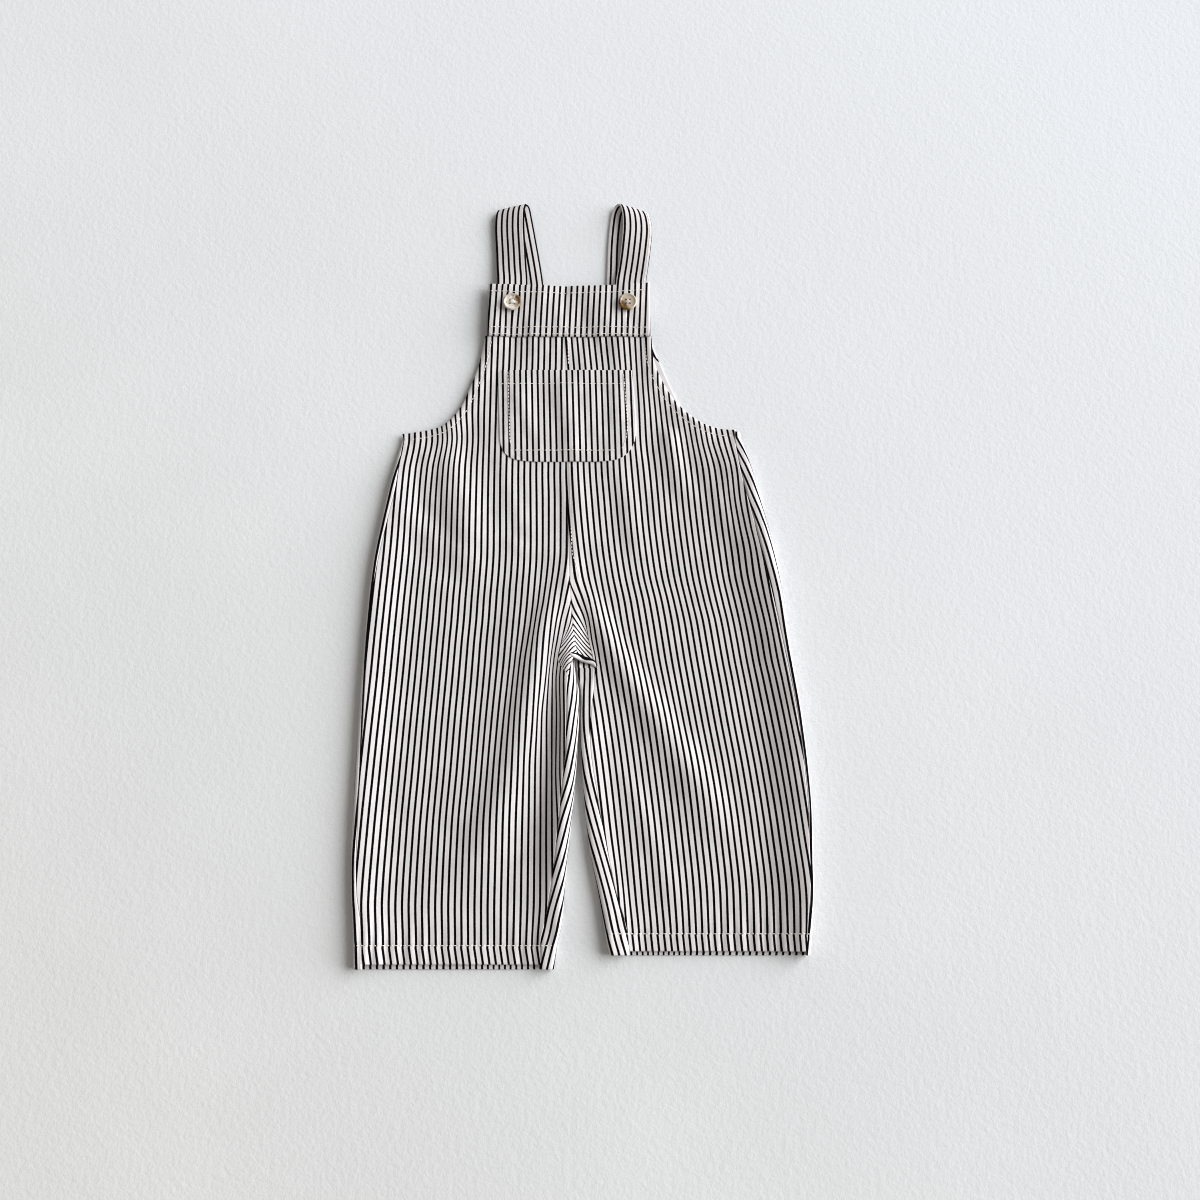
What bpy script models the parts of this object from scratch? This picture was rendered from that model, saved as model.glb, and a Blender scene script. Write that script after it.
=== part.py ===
"""Bib overalls for a small child, laid flat on their back.

Frame: +X to the right and +Y from the hems to the straps as the garment is seen from above, +Z up.
The origin is the middle of the bounding box's bottom. "Left" and "right" are as seen from above.
"""

import math

import bmesh
import bpy
from mathutils import Vector

MM = 0.001  # every size and table below is in millimetres

# Walls
CLOTH = 1.2  # one layer
HEM_WALL = 1.8  # turned hems
BAND_WALL = 1.8
STRAP_WALL = 2.2
SEAM_GAP = 0.45  # between the middles of walls that are sewn edge to edge: 0.3 at their closest
LAY_GAP = 0.35  # between a piece and the cloth it lies on

# How high the middle of the front's wall lies above the table
FLAT = 3.2  # over a flat back
FOLD_TOP = 5.6  # over the rolled edge folds
FOLD_ROLL = 3.6  # how far in the roll reaches
SIDE_SLOPE = 15.0  # from the side folds down to FLAT
INNER_SLOPE = 9.0  # from the inner leg folds down to FLAT
HEM_LIFT = 0.7
STRAP_LIFT = 4.05  # of the band and the bib over the strap ends
STRAP_SLOPE = 20.0  # beside them, down to FLAT

# Heights of the pieces along the body
BAND_SEAM = 167.8
BACK_TOP = 196.0
ARM_HEM = 5.4  # width of the armhole hems
HEM_DEPTH_LEFT = (-276.6, -264.8, -279.6)  # front edge, stitch line, back edge
HEM_DEPTH_RIGHT = (-268.4, -257.4, -270.9)

# Edge folds of the laid garment and the seams beside them
SIDE_LEFT = (  # y, fold x, side seam x
    (-280.0, -147.0, -141.0),
    (-262.0, -148.0, -141.6),
    (-230.0, -151.0, -147.0),
    (-200.0, -152.4, -148.6),
    (-100.0, -151.6, -148.4),
    (-40.0, -149.8, -147.2),
    (-10.0, -147.9, -144.3),
    (30.0, -142.2, -137.4),
    (50.0, -138.6, -133.6),
    (78.0, -133.0, -130.8),
    (86.0, -131.2, -129.6),
)
SIDE_RIGHT = (  # y, fold x, side seam x
    (-272.0, 147.4, 144.5),
    (-257.0, 149.4, 145.8),
    (-217.0, 152.4, 149.4),
    (-180.0, 152.9, 149.6),
    (-150.0, 151.8, 148.4),
    (-115.0, 149.0, 145.2),
    (-60.0, 142.2, 136.6),
    (-10.0, 136.9, 127.6),
    (32.0, 128.6, 118.6),
    (66.0, 120.4, 111.6),
    (88.0, 113.6, 109.0),
)
INNER_LEFT = (  # y, fold x, inseam x
    (-280.0, -17.6, -26.0),
    (-264.0, -15.8, -26.6),
    (-252.0, -13.0, -24.2),
    (-220.0, -10.4, -20.4),
    (-190.0, -7.4, -17.2),
    (-150.0, -4.4, -15.6),
    (-110.0, -3.0, -14.8),
    (-80.0, -3.2, -12.6),
    (-79.2, -3.3, -6.4),
    (-75.0, -3.6, -5.2),
    (-71.0, -4.2, -4.2),
)
INNER_RIGHT = (  # y, fold x, inseam x
    (-272.0, 17.8, 31.0),
    (-257.0, 15.2, 29.6),
    (-230.0, 10.4, 22.0),
    (-200.0, 4.5, 15.8),
    (-170.0, 1.2, 10.2),
    (-130.0, -1.0, 5.0),
    (-110.0, -1.0, 4.4),
    (-80.0, -0.8, 8.8),
    (-79.2, -0.8, 1.2),
    (-75.0, -1.8, -1.6),
    (-71.0, -4.2, -4.2),
)
CROTCH = -71.0
WRAP_TOP = -80.0  # where the cloth that wraps the inner folds ends, below the crotch
CROTCH_TURN = (-111.0, -36.0)  # y range over which only the columns nearest the crotch follow its turn
SIDE_TOP_LEFT = 85.0
SIDE_TOP_RIGHT = 88.0
CENTRE_FRONT = (  # y, seam x
    (-71.0, -4.2),
    (-45.0, -7.6),
    (-20.0, -9.2),
    (60.0, -12.0),
    (168.0, -14.0),
)
CENTRE_BACK = (  # y, seam x
    (-77.0, -2.0),
    (-71.0, -3.0),
    (0.0, -9.0),
    (196.0, -7.0),
)
ARMHOLE_LEFT = (  # x, y along the outer edge of the front's hem, up to the band
    (-131.0, 91.0),
    (-113.0, 94.0),
    (-100.0, 99.0),
    (-89.5, 112.0),
    (-83.5, 126.5),
    (-77.5, 144.5),
    (-72.8, BAND_SEAM),
)
ARMHOLE_RIGHT = (
    (113.6, 94.0),
    (98.0, 95.2),
    (85.0, 100.2),
    (72.0, 110.8),
    (62.0, 124.0),
    (52.6, 145.2),
    (49.8, BAND_SEAM),
)
BACK_ARMHOLE_LEFT = (  # x, y along the back's own edge, mostly under the front
    (-129.0, SIDE_TOP_LEFT + 1.5),
    (-112.0, 90.5),
    (-98.0, 96.0),
    (-87.0, 109.0),
    (-80.0, 127.0),
    (-71.0, 158.0),
    (-58.0, BACK_TOP),
)
BACK_ARMHOLE_RIGHT = (
    (111.5, SIDE_TOP_RIGHT + 1.0),
    (97.0, 93.0),
    (83.0, 99.6),
    (72.5, 110.0),
    (65.2, 122.5),
    (56.0, 147.0),
    (50.0, 160.0),
    (44.0, BACK_TOP),
)
BAND = (  # x, lower edge y, upper edge y
    (-71.4, 168.3, 211.6),
    (-40.0, 168.2, 210.6),
    (-12.0, 168.1, 210.2),
    (16.0, 168.1, 210.6),
    (49.4, 168.3, 211.9),
)
POCKET = (  # y, left edge x, right edge x
    (69.4, -34.0, 10.0),
    (70.4, -46.0, 21.0),
    (73.0, -53.5, 28.0),
    (78.0, -58.2, 33.4),
    (86.0, -60.6, 37.0),
    (97.0, -61.2, 38.2),
    (118.0, -62.2, 37.0),
    (141.0, -63.2, 35.2),
)
POCKET_SLACK = 0.5  # how much further its mouth stands off the bib

# Straps: the middle line of the folded strip, from its front end over the shoulder fold to its rear end
STRAP_WIDTH = 22.6
STRAP_LEFT = (  # x, y, height, rise of the strip's cross line to the right
    (-53.6, 183.0, 5.1, 0.00),
    (-53.7, 213.0, 5.1, 0.00),
    (-54.4, 224.0, 6.2, 0.02),
    (-55.2, 238.0, 7.9, 0.04),
    (-56.4, 256.0, 9.2, 0.08),
    (-56.4, 268.5, 9.2, 0.16),
    (-55.6, 274.4, 7.6, 0.22),
    (-54.4, 275.8, 5.2, 0.22),
    (-52.8, 274.2, 2.6, 0.20),
    (-51.2, 267.0, 1.25, 0.14),
    (-47.4, 246.0, 1.15, 0.08),
    (-43.6, 224.0, 1.15, 0.04),
    (-41.6, 209.0, 1.25, 0.02),
    (-40.8, 198.6, 2.65, 0.00),
    (-40.0, 181.0, 2.65, 0.00),
)
STRAP_RIGHT = (
    (32.2, 183.0, 5.1, 0.00),
    (35.2, 213.0, 5.1, -0.02),
    (36.8, 224.0, 6.2, -0.03),
    (38.6, 238.0, 7.9, -0.05),
    (40.2, 256.0, 9.2, -0.12),
    (39.6, 267.5, 9.2, -0.22),
    (37.8, 273.8, 7.6, -0.28),
    (35.6, 275.3, 5.2, -0.30),
    (33.4, 273.8, 2.6, -0.26),
    (31.2, 267.0, 1.25, -0.16),
    (29.2, 246.0, 1.15, -0.05),
    (28.4, 224.0, 1.15, 0.00),
    (27.8, 209.0, 1.25, 0.00),
    (27.4, 198.6, 2.65, 0.00),
    (26.8, 181.0, 2.65, 0.00),
)

STRAP_ENDS = ((-66.5, -28.5), (14.5, 48.0))  # x reach of what lies behind the band

# Buttons, and the buttonholes that they pass through
BUTTONS = {"button_left": (-54.0, 197.0), "button_right": (32.4, 197.0)}
BUTTON_PROFILE = (  # radius, height above the button's underside
    (0.0, 0.0),
    (5.4, 0.0),
    (6.6, 0.9),
    (6.8, 1.6),
    (6.4, 2.4),
    (5.7, 2.6),
    (4.7, 2.1),
    (0.0, 1.8),
)
BUTTON_SIDES = 24
THREAD_HOLE_RADIUS = 0.8
THREAD_HOLE_PITCH = 1.45  # from the button's centre, along each diagonal's x and y
SLIT_WIDTH = 1.2
SLIT_BELOW = 14.0  # from the button's centre down to the buttonhole's lower end
SLIT_ABOVE = 2.0

# The largest soft folds of the front: crest or trough lines of three points
FOLDS = (  # height, half width, then x and y at the start, middle and end
    (2.4, 17.0, -20.0, 5.0, -33.0, -85.0, -58.0, -215.0),  # left leg, from the crotch to the hem
    (-0.7, 13.0, -42.0, -5.0, -56.0, -80.0, -86.0, -215.0),
    (2.2, 12.0, -9.5, 10.0, -7.0, -40.0, 1.0, -74.0),  # centre seam down to the flap over the crotch
    (1.6, 12.0, -8.0, -50.0, 4.0, -70.0, 12.0, -96.0),
    (2.6, 17.0, 2.0, 5.0, 17.0, -45.0, 70.0, -150.0),  # right leg, from the crotch outwards
    (-0.7, 12.0, 10.0, -60.0, 30.0, -105.0, 80.0, -190.0),
    (1.6, 16.0, -128.0, 45.0, -105.0, 24.0, -75.0, 14.0),  # hips
    (1.4, 14.0, -66.0, 24.0, -44.0, 4.0, -22.0, 8.0),
    (1.4, 14.0, -86.0, 74.0, -78.0, 52.0, -66.0, 24.0),  # below the armholes
    (1.6, 16.0, 80.0, 76.0, 86.0, 50.0, 90.0, 10.0),
)

# Rows of the cloth grids
LEG_ROWS = (-245.0, -225.0, -205.0, -185.0, -165.0, -146.0, -128.0, -111.0, -95.0, WRAP_TOP)
CROTCH_ROWS = (-79.2, -75.0, CROTCH)
BODY_ROWS = (-62.0, -50.0, -36.0, -20.0, -4.0, 12.0, 28.0, 44.0, 60.0, 74.0)
ARMHOLE_STEPS = 11
FRONT_COLUMNS = 17
BOTTOM_COLUMNS = 7
WRAP_STEPS = 4
ROLL_STEPS = 3

CREAM = (0.83, 0.80, 0.75, 1.0)
HORN = (0.62, 0.50, 0.36, 1.0)


def smoothstep(value):
    value = min(max(value, 0.0), 1.0)
    return value * value * (3.0 - 2.0 * value)


def read(table, y, column=1):
    """The column's value at height y, on a smooth curve through the rows that never overshoots them."""
    y = min(max(y, table[0][0]), table[-1][0])
    i = max(k for k in range(len(table) - 1) if table[k][0] <= y)

    def rate(k):
        return (table[k + 1][column] - table[k][column]) / (table[k + 1][0] - table[k][0])

    def slope(k):
        if k == 0 or k == len(table) - 1:
            return rate(min(k, len(table) - 2))
        before, after = rate(k - 1), rate(k)
        return 0.0 if before * after <= 0 else 2.0 * before * after / (before + after)

    step = table[i + 1][0] - table[i][0]
    t = (y - table[i][0]) / step
    start, end = table[i][column], table[i + 1][column]
    bulge = slope(i) * step * (1 - t) - slope(i + 1) * step * t
    return start + (end - start) * t * t * (3 - 2 * t) + bulge * t * (1 - t)


def smooth_line(points, parts):
    """The points of a smooth curve through the given ones, with so many parts between each two."""
    line = []
    last = len(points) - 1
    for i in range(last):
        a, b, c, d = (Vector(points[min(max(k, 0), last)]) for k in (i - 1, i, i + 1, i + 2))
        for k in range(parts):
            t = k / parts
            square, cube = t * t, t * t * t
            bend = (a - 2.5 * b + 2 * c - d / 2) * square + (1.5 * (b - c) + (d - a) / 2) * cube
            line.append(b + (c - a) * (t / 2) + bend)
    return [*line, Vector(points[-1])]


def evenly(line, steps):
    """steps + 1 points at equal distances along a line."""
    reach = [0.0]
    for a, b in zip(line, line[1:]):
        reach.append(reach[-1] + (b - a).length)
    found = []
    for k in range(steps + 1):
        goal = reach[-1] * k / steps
        i = min(max(n for n in range(len(reach)) if reach[n] <= goal + 1e-9), len(line) - 2)
        found.append(line[i].lerp(line[i + 1], (goal - reach[i]) / (reach[i + 1] - reach[i])))
    return found


def inset(path, distance):
    """The path moved sideways by distance, to the right of its own direction if that is positive."""
    moved = []
    for k, point in enumerate(path):
        ahead = path[min(k + 1, len(path) - 1)] - path[max(k - 1, 0)]
        across = Vector((ahead.y, -ahead.x)).normalized()
        moved.append(point + across * distance)
    return moved


def fold_height(x, y):
    """What the soft folds add to the front's height at x, y."""
    total = 0.0
    for height, half_width, *line in FOLDS:
        crest = [Vector(line[i : i + 2]) for i in (0, 2, 4)]
        place = Vector((x, y))
        nearest, along = None, 0.0
        for part in (0, 1):
            start, run = crest[part], crest[part + 1] - crest[part]
            t = min(max((place - start).dot(run) / run.length_squared, 0.0), 1.0)
            away = (place - start - run * t).length
            if nearest is None or away < nearest:
                nearest, along = away, (part + t) / 2
        if nearest < half_width:
            taper = smoothstep(4 * along) * smoothstep(4 * (1 - along))
            total += height * taper * (0.5 + 0.5 * math.cos(math.pi * nearest / half_width))
    return total


def slope_from_fold(distance, reach):
    """1 over the roll of an edge fold, easing to 0 where its slope ends."""
    return 1.0 - smoothstep((distance - FOLD_ROLL) / reach)


def strap_cover(x, y):
    """1 over the strap ends behind the band, easing to 0 around them."""
    over = 0.0
    for low, high in STRAP_ENDS:
        outside = max(low - x, x - high, 0.0)
        over = max(over, 1.0 - smoothstep(outside / STRAP_SLOPE))
    return over * smoothstep((y - 163.0) / 15.0)


def front_height(x, y):
    """The height of the middle of the front's wall, before the rounding of the edge folds."""
    sides = 0.0
    for table, sign in ((SIDE_LEFT, 1), (SIDE_RIGHT, -1)):
        sides += slope_from_fold(sign * (x - read(table, y)), SIDE_SLOPE)
    sides *= 1.0 - smoothstep((y - 55.0) / 40.0)
    inner = 0.0
    for table, sign in ((INNER_LEFT, -1), (INNER_RIGHT, 1)):
        away = sign * (x - read(table, y))
        if away > -FOLD_ROLL:
            inner = max(inner, slope_from_fold(away, INNER_SLOPE))
    inner *= 1.0 - smoothstep((y + 150.0) / 72.0)
    height = FLAT + (FOLD_TOP - FLAT) * min(sides + inner, 1.0)
    low_edge = HEM_DEPTH_LEFT[1] if x < 0 else HEM_DEPTH_RIGHT[1]
    height += HEM_LIFT * smoothstep((low_edge + 22.0 - y) / 20.0)
    height += STRAP_LIFT * strap_cover(x, y)
    lowest = CLOTH + LAY_GAP + CLOTH / 2
    return max(height + fold_height(x, y), lowest)


def rounding(distance):
    """From 0 at an edge fold's outermost line to 1 where its roll ends."""
    inward = min(max(distance / FOLD_ROLL, 0.0), 1.0)
    return math.sqrt(1.0 - (1.0 - inward) ** 2)


def roll_height(x, y, distance, top, floor=CLOTH / 2):
    """The upper or lower half of a rolled edge: the middle of the wall, distance in from the fold."""
    above = front_height(x, y) - floor
    half = 0.5 * rounding(distance)
    return floor + above * (0.5 + half if top else 0.5 - half)


def panel(name, patches, wall, colour=CREAM, holes=()):
    """A cloth wall around one or more grids of points. Grids that share points are joined along them."""
    shape = bmesh.new()
    for patch, grid in enumerate(patches):
        rows = [[shape.verts.new(Vector(point) * MM) for point in row] for row in grid]
        for i, (low, high) in enumerate(zip(rows, rows[1:])):
            for j in range(len(low) - 1):
                if (patch, i, j) not in holes:
                    shape.faces.new((low[j], low[j + 1], high[j + 1], high[j]))
    bmesh.ops.remove_doubles(shape, verts=shape.verts, dist=0.00001)
    bmesh.ops.recalc_face_normals(shape, faces=shape.faces)
    thing = place(name, shape, colour)
    thicken = thing.modifiers.new("wall", "SOLIDIFY")
    thicken.thickness = wall * MM
    thicken.offset = 0.0
    thicken.use_even_offset = True
    return thing


def place(name, shape, colour):
    mesh = bpy.data.meshes.new(name)
    shape.to_mesh(mesh)
    shape.free()
    mesh.shade_smooth()
    mesh.set_sharp_from_angle(angle=math.radians(40))
    material = bpy.data.materials.new(name)
    material.use_nodes = True
    shader = material.node_tree.nodes["Principled BSDF"]
    shader.inputs["Base Color"].default_value = colour
    shader.inputs["Roughness"].default_value = 0.3 if colour is HORN else 0.9
    mesh.materials.append(material)
    thing = bpy.data.objects.new(name, mesh)
    thing.parent = bpy.data.objects["overalls"]
    bpy.context.scene.collection.objects.link(thing)
    return thing


def side_rows(hem_line, side_top):
    return [hem_line, *LEG_ROWS, *CROTCH_ROWS, *BODY_ROWS, side_top]


def armhole_line(armhole, distance):
    """A line along the armhole, distance in from its edge, that ends level with the band's seam."""
    line = inset(evenly(smooth_line(armhole, 8), ARMHOLE_STEPS), distance)
    line[-1].y = BAND_SEAM
    return line


def spread(count):
    """count + 1 shares from 0 to 1, closer together at both ends."""
    even = [k / count for k in range(count + 1)]
    return [0.4 * share + 0.6 * (0.5 - 0.5 * math.cos(math.pi * share)) for share in even]


def front_centre(inner, y):
    """The front's centre seam, or the inseam below the crotch."""
    return read(CENTRE_FRONT, y) if y > CROTCH else read(inner, y, 2)


def eased_centre(inner, y):
    """The same line with the crotch's sharp turn taken out."""
    low, high = CROTCH_TURN
    if not low < y < high:
        return front_centre(inner, y)
    share = smoothstep((y - low) / (high - low))
    return front_centre(inner, low) * (1 - share) + front_centre(inner, high) * share


def front_panel(name, side, inner, side_top, hem, armhole, left):
    """One half of the front, from the leg hem to the band."""
    toward = 1 if left else -1  # from the side seam towards the centre
    grid = []
    ends = [(y, read(side, y, 2)) for y in side_rows(hem[1], side_top)]
    for point in armhole_line(armhole, toward * (ARM_HEM + SEAM_GAP)):
        seam = read(side, side_top, 2)
        ends.append((point.y, max(point.x, seam) if left else min(point.x, seam)))
    for y, outer in ends:
        start = outer + toward * SEAM_GAP / 2
        stop = eased_centre(inner, y) - toward * SEAM_GAP / 2
        turn = front_centre(inner, y) - eased_centre(inner, y)
        row = []
        for share in spread(FRONT_COLUMNS):
            x = start + (stop - start) * share + turn * share**20
            distance = toward * (x - read(side, y)) - CLOTH / 2
            distance += FOLD_ROLL * smoothstep((y - 50.0) / (side_top - 50.0))
            row.append((x, y, roll_height(x, y, distance, top=True)))
        grid.append(row)
    panel(name, [grid], CLOTH)


def wrap_columns(fold, seam, y, inward, from_seam):
    """Points from a seam on top, out over the edge fold and under to where the wall lies flat."""
    edge = fold + inward * CLOTH / 2
    reach = inward * (seam - edge) - SEAM_GAP / 2
    row = []
    for k in range(WRAP_STEPS):
        distance = reach * (1.0 - math.sin(math.pi / 2 * k / WRAP_STEPS))
        x = edge + inward * distance
        row.append((x, y, roll_height(x, y, distance, top=True)))
    for k in range(ROLL_STEPS + 1):
        distance = FOLD_ROLL * (1.0 - math.cos(math.pi / 2 * k / ROLL_STEPS))
        x = edge + inward * distance
        row.append((x, y, roll_height(x, y, distance, top=False)))
    row[-1] = (row[-1][0], y, CLOTH / 2)
    return row if from_seam else row[::-1]


def cut_back(row, depth):
    """The row moved down, the more the nearer its end."""
    last = len(row) - 1
    return [(x, y - depth * k / last, z) for k, (x, y, z) in enumerate(row)]


def back_panel(name, side, inner, side_top, hem, armhole, left):
    """One half of the back: flat on the table, with the wraps over the side fold and the inner leg fold."""
    toward = 1 if left else -1
    side_wrap, leg_wrap, flat = [], [], []
    for y in side_rows(hem[1], side_top):
        side_wrap.append(wrap_columns(read(side, y), read(side, y, 2), y, toward, from_seam=True))
        outer = side_wrap[-1][-1][0]
        centre = read(CENTRE_BACK, y) - toward * SEAM_GAP / 2
        if y <= WRAP_TOP:
            leg_wrap.append(wrap_columns(read(inner, y), read(inner, y, 2), y, -toward, from_seam=False))
            centre = leg_wrap[-1][0][0]
        if y == WRAP_TOP:
            leg_wrap[-1] = cut_back(leg_wrap[-1], 1.2)
        flat.append(bottom_row(outer, centre, y))
    for point in evenly(smooth_line(armhole, 8), ARMHOLE_STEPS)[1:]:
        centre = read(CENTRE_BACK, point.y) - toward * SEAM_GAP / 2
        flat.append(bottom_row(point.x, centre, point.y))
    panel(name, [side_wrap, flat, leg_wrap], CLOTH)


def bottom_row(start, stop, y):
    return [(start + (stop - start) * share, y, CLOTH / 2) for share in spread(BOTTOM_COLUMNS)]


def leg_hem(name, side, inner, hem, left):
    """The turned-up end of a leg: a flattened tube, its upper face level with the front."""
    front_edge, stitch_line, back_edge = hem
    toward = 1 if left else -1
    floor = HEM_WALL / 2 + 0.03  # its rounded edges sink a little when the wall is put around them
    rows = []
    for share in (0.0, 0.5, 1.0):
        y_front = stitch_line - SEAM_GAP + (front_edge - stitch_line + SEAM_GAP) * share
        y_back = stitch_line - SEAM_GAP + (back_edge - stitch_line + SEAM_GAP) * share
        start = read(side, y_front) + toward * HEM_WALL / 2
        stop = read(inner, y_front) - toward * HEM_WALL / 2
        upper, lower = [], []
        for across in spread(FRONT_COLUMNS):
            x = start + (stop - start) * across
            distance = min(abs(x - start), abs(x - stop))
            raised = front_height(x, y_front) - (HEM_WALL - CLOTH) / 2 - floor
            for half, points in ((0.5, upper), (-0.5, lower)):
                height = raised * (0.5 + half * rounding(distance))
                y = y_back + (y_front - y_back) * smoothstep(height / raised)
                points.append((x, y, floor + height))
        rows.append([*upper, *lower[-2:0:-1], upper[0]])
    panel(name, [rows], HEM_WALL)


def armhole_hem(name, armhole, left):
    """The narrow turned hem along the front's armhole, level with the front."""
    toward = 1 if left else -1
    rows = []
    for a, b in zip(armhole_line(armhole, 0.0), armhole_line(armhole, toward * ARM_HEM)):
        points = [a.lerp(b, share) for share in (0.0, 0.5, 1.0)]
        rows.append([(p.x, p.y, front_height(p.x, p.y) - (HEM_WALL - CLOTH) / 2) for p in points])
    panel(name, [rows], HEM_WALL)


def bib_band():
    """The band across the top of the bib, with a buttonhole at each strap."""
    slits = sorted(x for x, y in BUTTONS.values())
    xs = {-71.4, -66.0, -60.0, -47.0, -38.0, 22.0, 39.0, 44.0, 49.4}
    xs |= {-30.0 + 7.5 * k for k in range(7)}  # where the band sags between the straps
    for x in slits:
        xs |= {x - SLIT_WIDTH / 2, x + SLIT_WIDTH / 2}
    xs = sorted(xs)
    slit_y = BUTTONS["button_left"][1]
    ys = (None, 172.0, 177.0, slit_y - SLIT_BELOW, 191.0, slit_y + SLIT_ABOVE, 205.0, None)
    grid = []
    for i, y in enumerate(ys):
        row = []
        for x in xs:
            here = y if y is not None else read(BAND, x, 1 if i == 0 else 2)
            row.append((x, here, front_height(x, here) + (BAND_WALL - CLOTH) / 2))
        grid.append(row)
    holes = set()
    for x in slits:
        column = xs.index(x - SLIT_WIDTH / 2)
        holes |= {(0, 3, column), (0, 4, column)}
    panel("bib_band", [grid], BAND_WALL, holes=holes)


def pocket():
    """The patch pocket, made from the front's own height and moved out."""
    rows = []
    ys = [row[0] for row in POCKET[:-1]] + [130.0, POCKET[-1][0]]
    for y in ys:
        left, right = read(POCKET, y, 1), read(POCKET, y, 2)
        row = []
        for share in spread(10):
            x = left + (right - left) * share
            slack = POCKET_SLACK * smoothstep((y - 118.0) / 20.0) * math.sin(math.pi * share)
            row.append((x, y, front_height(x, y) + CLOTH + LAY_GAP + slack))
        rows.append(row)
    panel("pocket", [rows], CLOTH)


def strap(name, route):
    """One strap: a double strip that runs up from behind the band, folds over and returns along the table."""
    rows = []
    for x, y, height, rise in smooth_line(route, 3):
        row = []
        for share in (-0.5, -0.17, 0.17, 0.5):
            across = STRAP_WIDTH * share
            row.append((x + across, y + across * rise, height))
        rows.append(row)
    panel(name, [rows], STRAP_WALL)


def button(name, x, y):
    """A turned four-hole button that rests on the band."""
    shape = bmesh.new()
    outline = [shape.verts.new((r * MM, 0, z * MM)) for r, z in BUTTON_PROFILE]
    edges = [shape.edges.new(pair) for pair in zip(outline, outline[1:])]
    bmesh.ops.spin(
        shape,
        geom=outline + edges,
        axis=(0, 0, 1),
        cent=(0, 0, 0),
        angle=2 * math.pi,
        steps=BUTTON_SIDES,
        use_merge=True,
    )
    bmesh.ops.remove_doubles(shape, verts=shape.verts, dist=0.00001)
    bmesh.ops.recalc_face_normals(shape, faces=shape.faces)
    disc = place(name, shape, HORN)
    seat = front_height(x, y) + BAND_WALL - CLOTH / 2 + SEAM_GAP
    disc.location = Vector((x, y, seat)) * MM
    punch = disc.modifiers.new("thread_holes", "BOOLEAN")
    punch.operation = "DIFFERENCE"
    punch.solver = "EXACT"
    punch.object = thread_holes(name + "_cutter")
    punch.object.location = disc.location


def thread_holes(name):
    """Four upright pegs that cut a button's thread holes."""
    shape = bmesh.new()
    for sx in (-1, 1):
        for sy in (-1, 1):
            made = bmesh.ops.create_cone(
                shape,
                cap_ends=True,
                segments=10,
                radius1=THREAD_HOLE_RADIUS * MM,
                radius2=THREAD_HOLE_RADIUS * MM,
                depth=8 * MM,
            )
            shift = Vector((sx, sy, 0)) * THREAD_HOLE_PITCH * MM
            bmesh.ops.translate(shape, verts=made["verts"], vec=shift)
    cutter = place(name, shape, HORN)
    cutter.hide_render = True
    cutter.display_type = "WIRE"
    return cutter


def main():
    for thing in list(bpy.data.objects):
        bpy.data.objects.remove(thing)
    bpy.context.scene.collection.objects.link(bpy.data.objects.new("overalls", None))
    halves = {
        "left": (SIDE_LEFT, INNER_LEFT, SIDE_TOP_LEFT, HEM_DEPTH_LEFT),
        "right": (SIDE_RIGHT, INNER_RIGHT, SIDE_TOP_RIGHT, HEM_DEPTH_RIGHT),
    }
    armholes = {"left": ARMHOLE_LEFT, "right": ARMHOLE_RIGHT}
    back_armholes = {"left": BACK_ARMHOLE_LEFT, "right": BACK_ARMHOLE_RIGHT}
    straps = {"left": STRAP_LEFT, "right": STRAP_RIGHT}
    for half, (side, inner, side_top, hem) in halves.items():
        left = half == "left"
        front_panel("front_" + half, side, inner, side_top, hem, armholes[half], left)
        back_panel("back_" + half, side, inner, side_top, hem, back_armholes[half], left)
        leg_hem("leg_hem_" + half, side, inner, hem, left)
        armhole_hem("armhole_hem_" + half, armholes[half], left)
        strap("strap_" + half, straps[half])
    bib_band()
    pocket()
    for name, (x, y) in BUTTONS.items():
        button(name, x, y)


main()
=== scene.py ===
"""Bib overalls for a small child, laid flat on their back: cloth, sewing, buttons, light and camera.

Lengths are in millimetres until a mesh is made. +X is right, +Y from the hems to the straps, +Z up.
"""

import math
from collections import namedtuple

import bmesh
import bpy
import numpy as np
from mathutils import Matrix, Vector


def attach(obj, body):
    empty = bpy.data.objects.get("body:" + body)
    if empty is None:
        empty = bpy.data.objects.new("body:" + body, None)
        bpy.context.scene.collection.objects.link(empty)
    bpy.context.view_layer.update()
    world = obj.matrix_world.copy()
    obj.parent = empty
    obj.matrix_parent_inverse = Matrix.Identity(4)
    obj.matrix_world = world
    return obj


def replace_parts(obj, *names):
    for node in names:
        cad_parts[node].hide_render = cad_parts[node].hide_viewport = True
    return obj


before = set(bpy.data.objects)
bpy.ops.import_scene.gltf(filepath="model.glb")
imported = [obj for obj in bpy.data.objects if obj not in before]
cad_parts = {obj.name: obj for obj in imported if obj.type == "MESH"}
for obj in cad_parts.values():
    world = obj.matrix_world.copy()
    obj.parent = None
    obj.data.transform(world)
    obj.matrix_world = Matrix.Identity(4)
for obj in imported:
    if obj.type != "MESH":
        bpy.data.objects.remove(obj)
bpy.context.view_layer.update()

MM = 0.001
WALL = 0.7  # one layer of cloth
POCKET_WALL = 0.55
LIP_WALL = 0.5
TURN = 0.4  # radius of the middle of the wall where it is folded flat: layers lie two of these apart
SEAM = 0.04  # half the gap between panels that are sewn edge to edge
PITCH = 4.3  # from one black stripe to the next

# Walls and gaps of the solids that this scene is laid over
CAD_WALL = 1.2
CAD_BAND_WALL = 1.8
CAD_BUTTON_GAP = 0.45
LAY_GAP = 0.35

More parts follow.
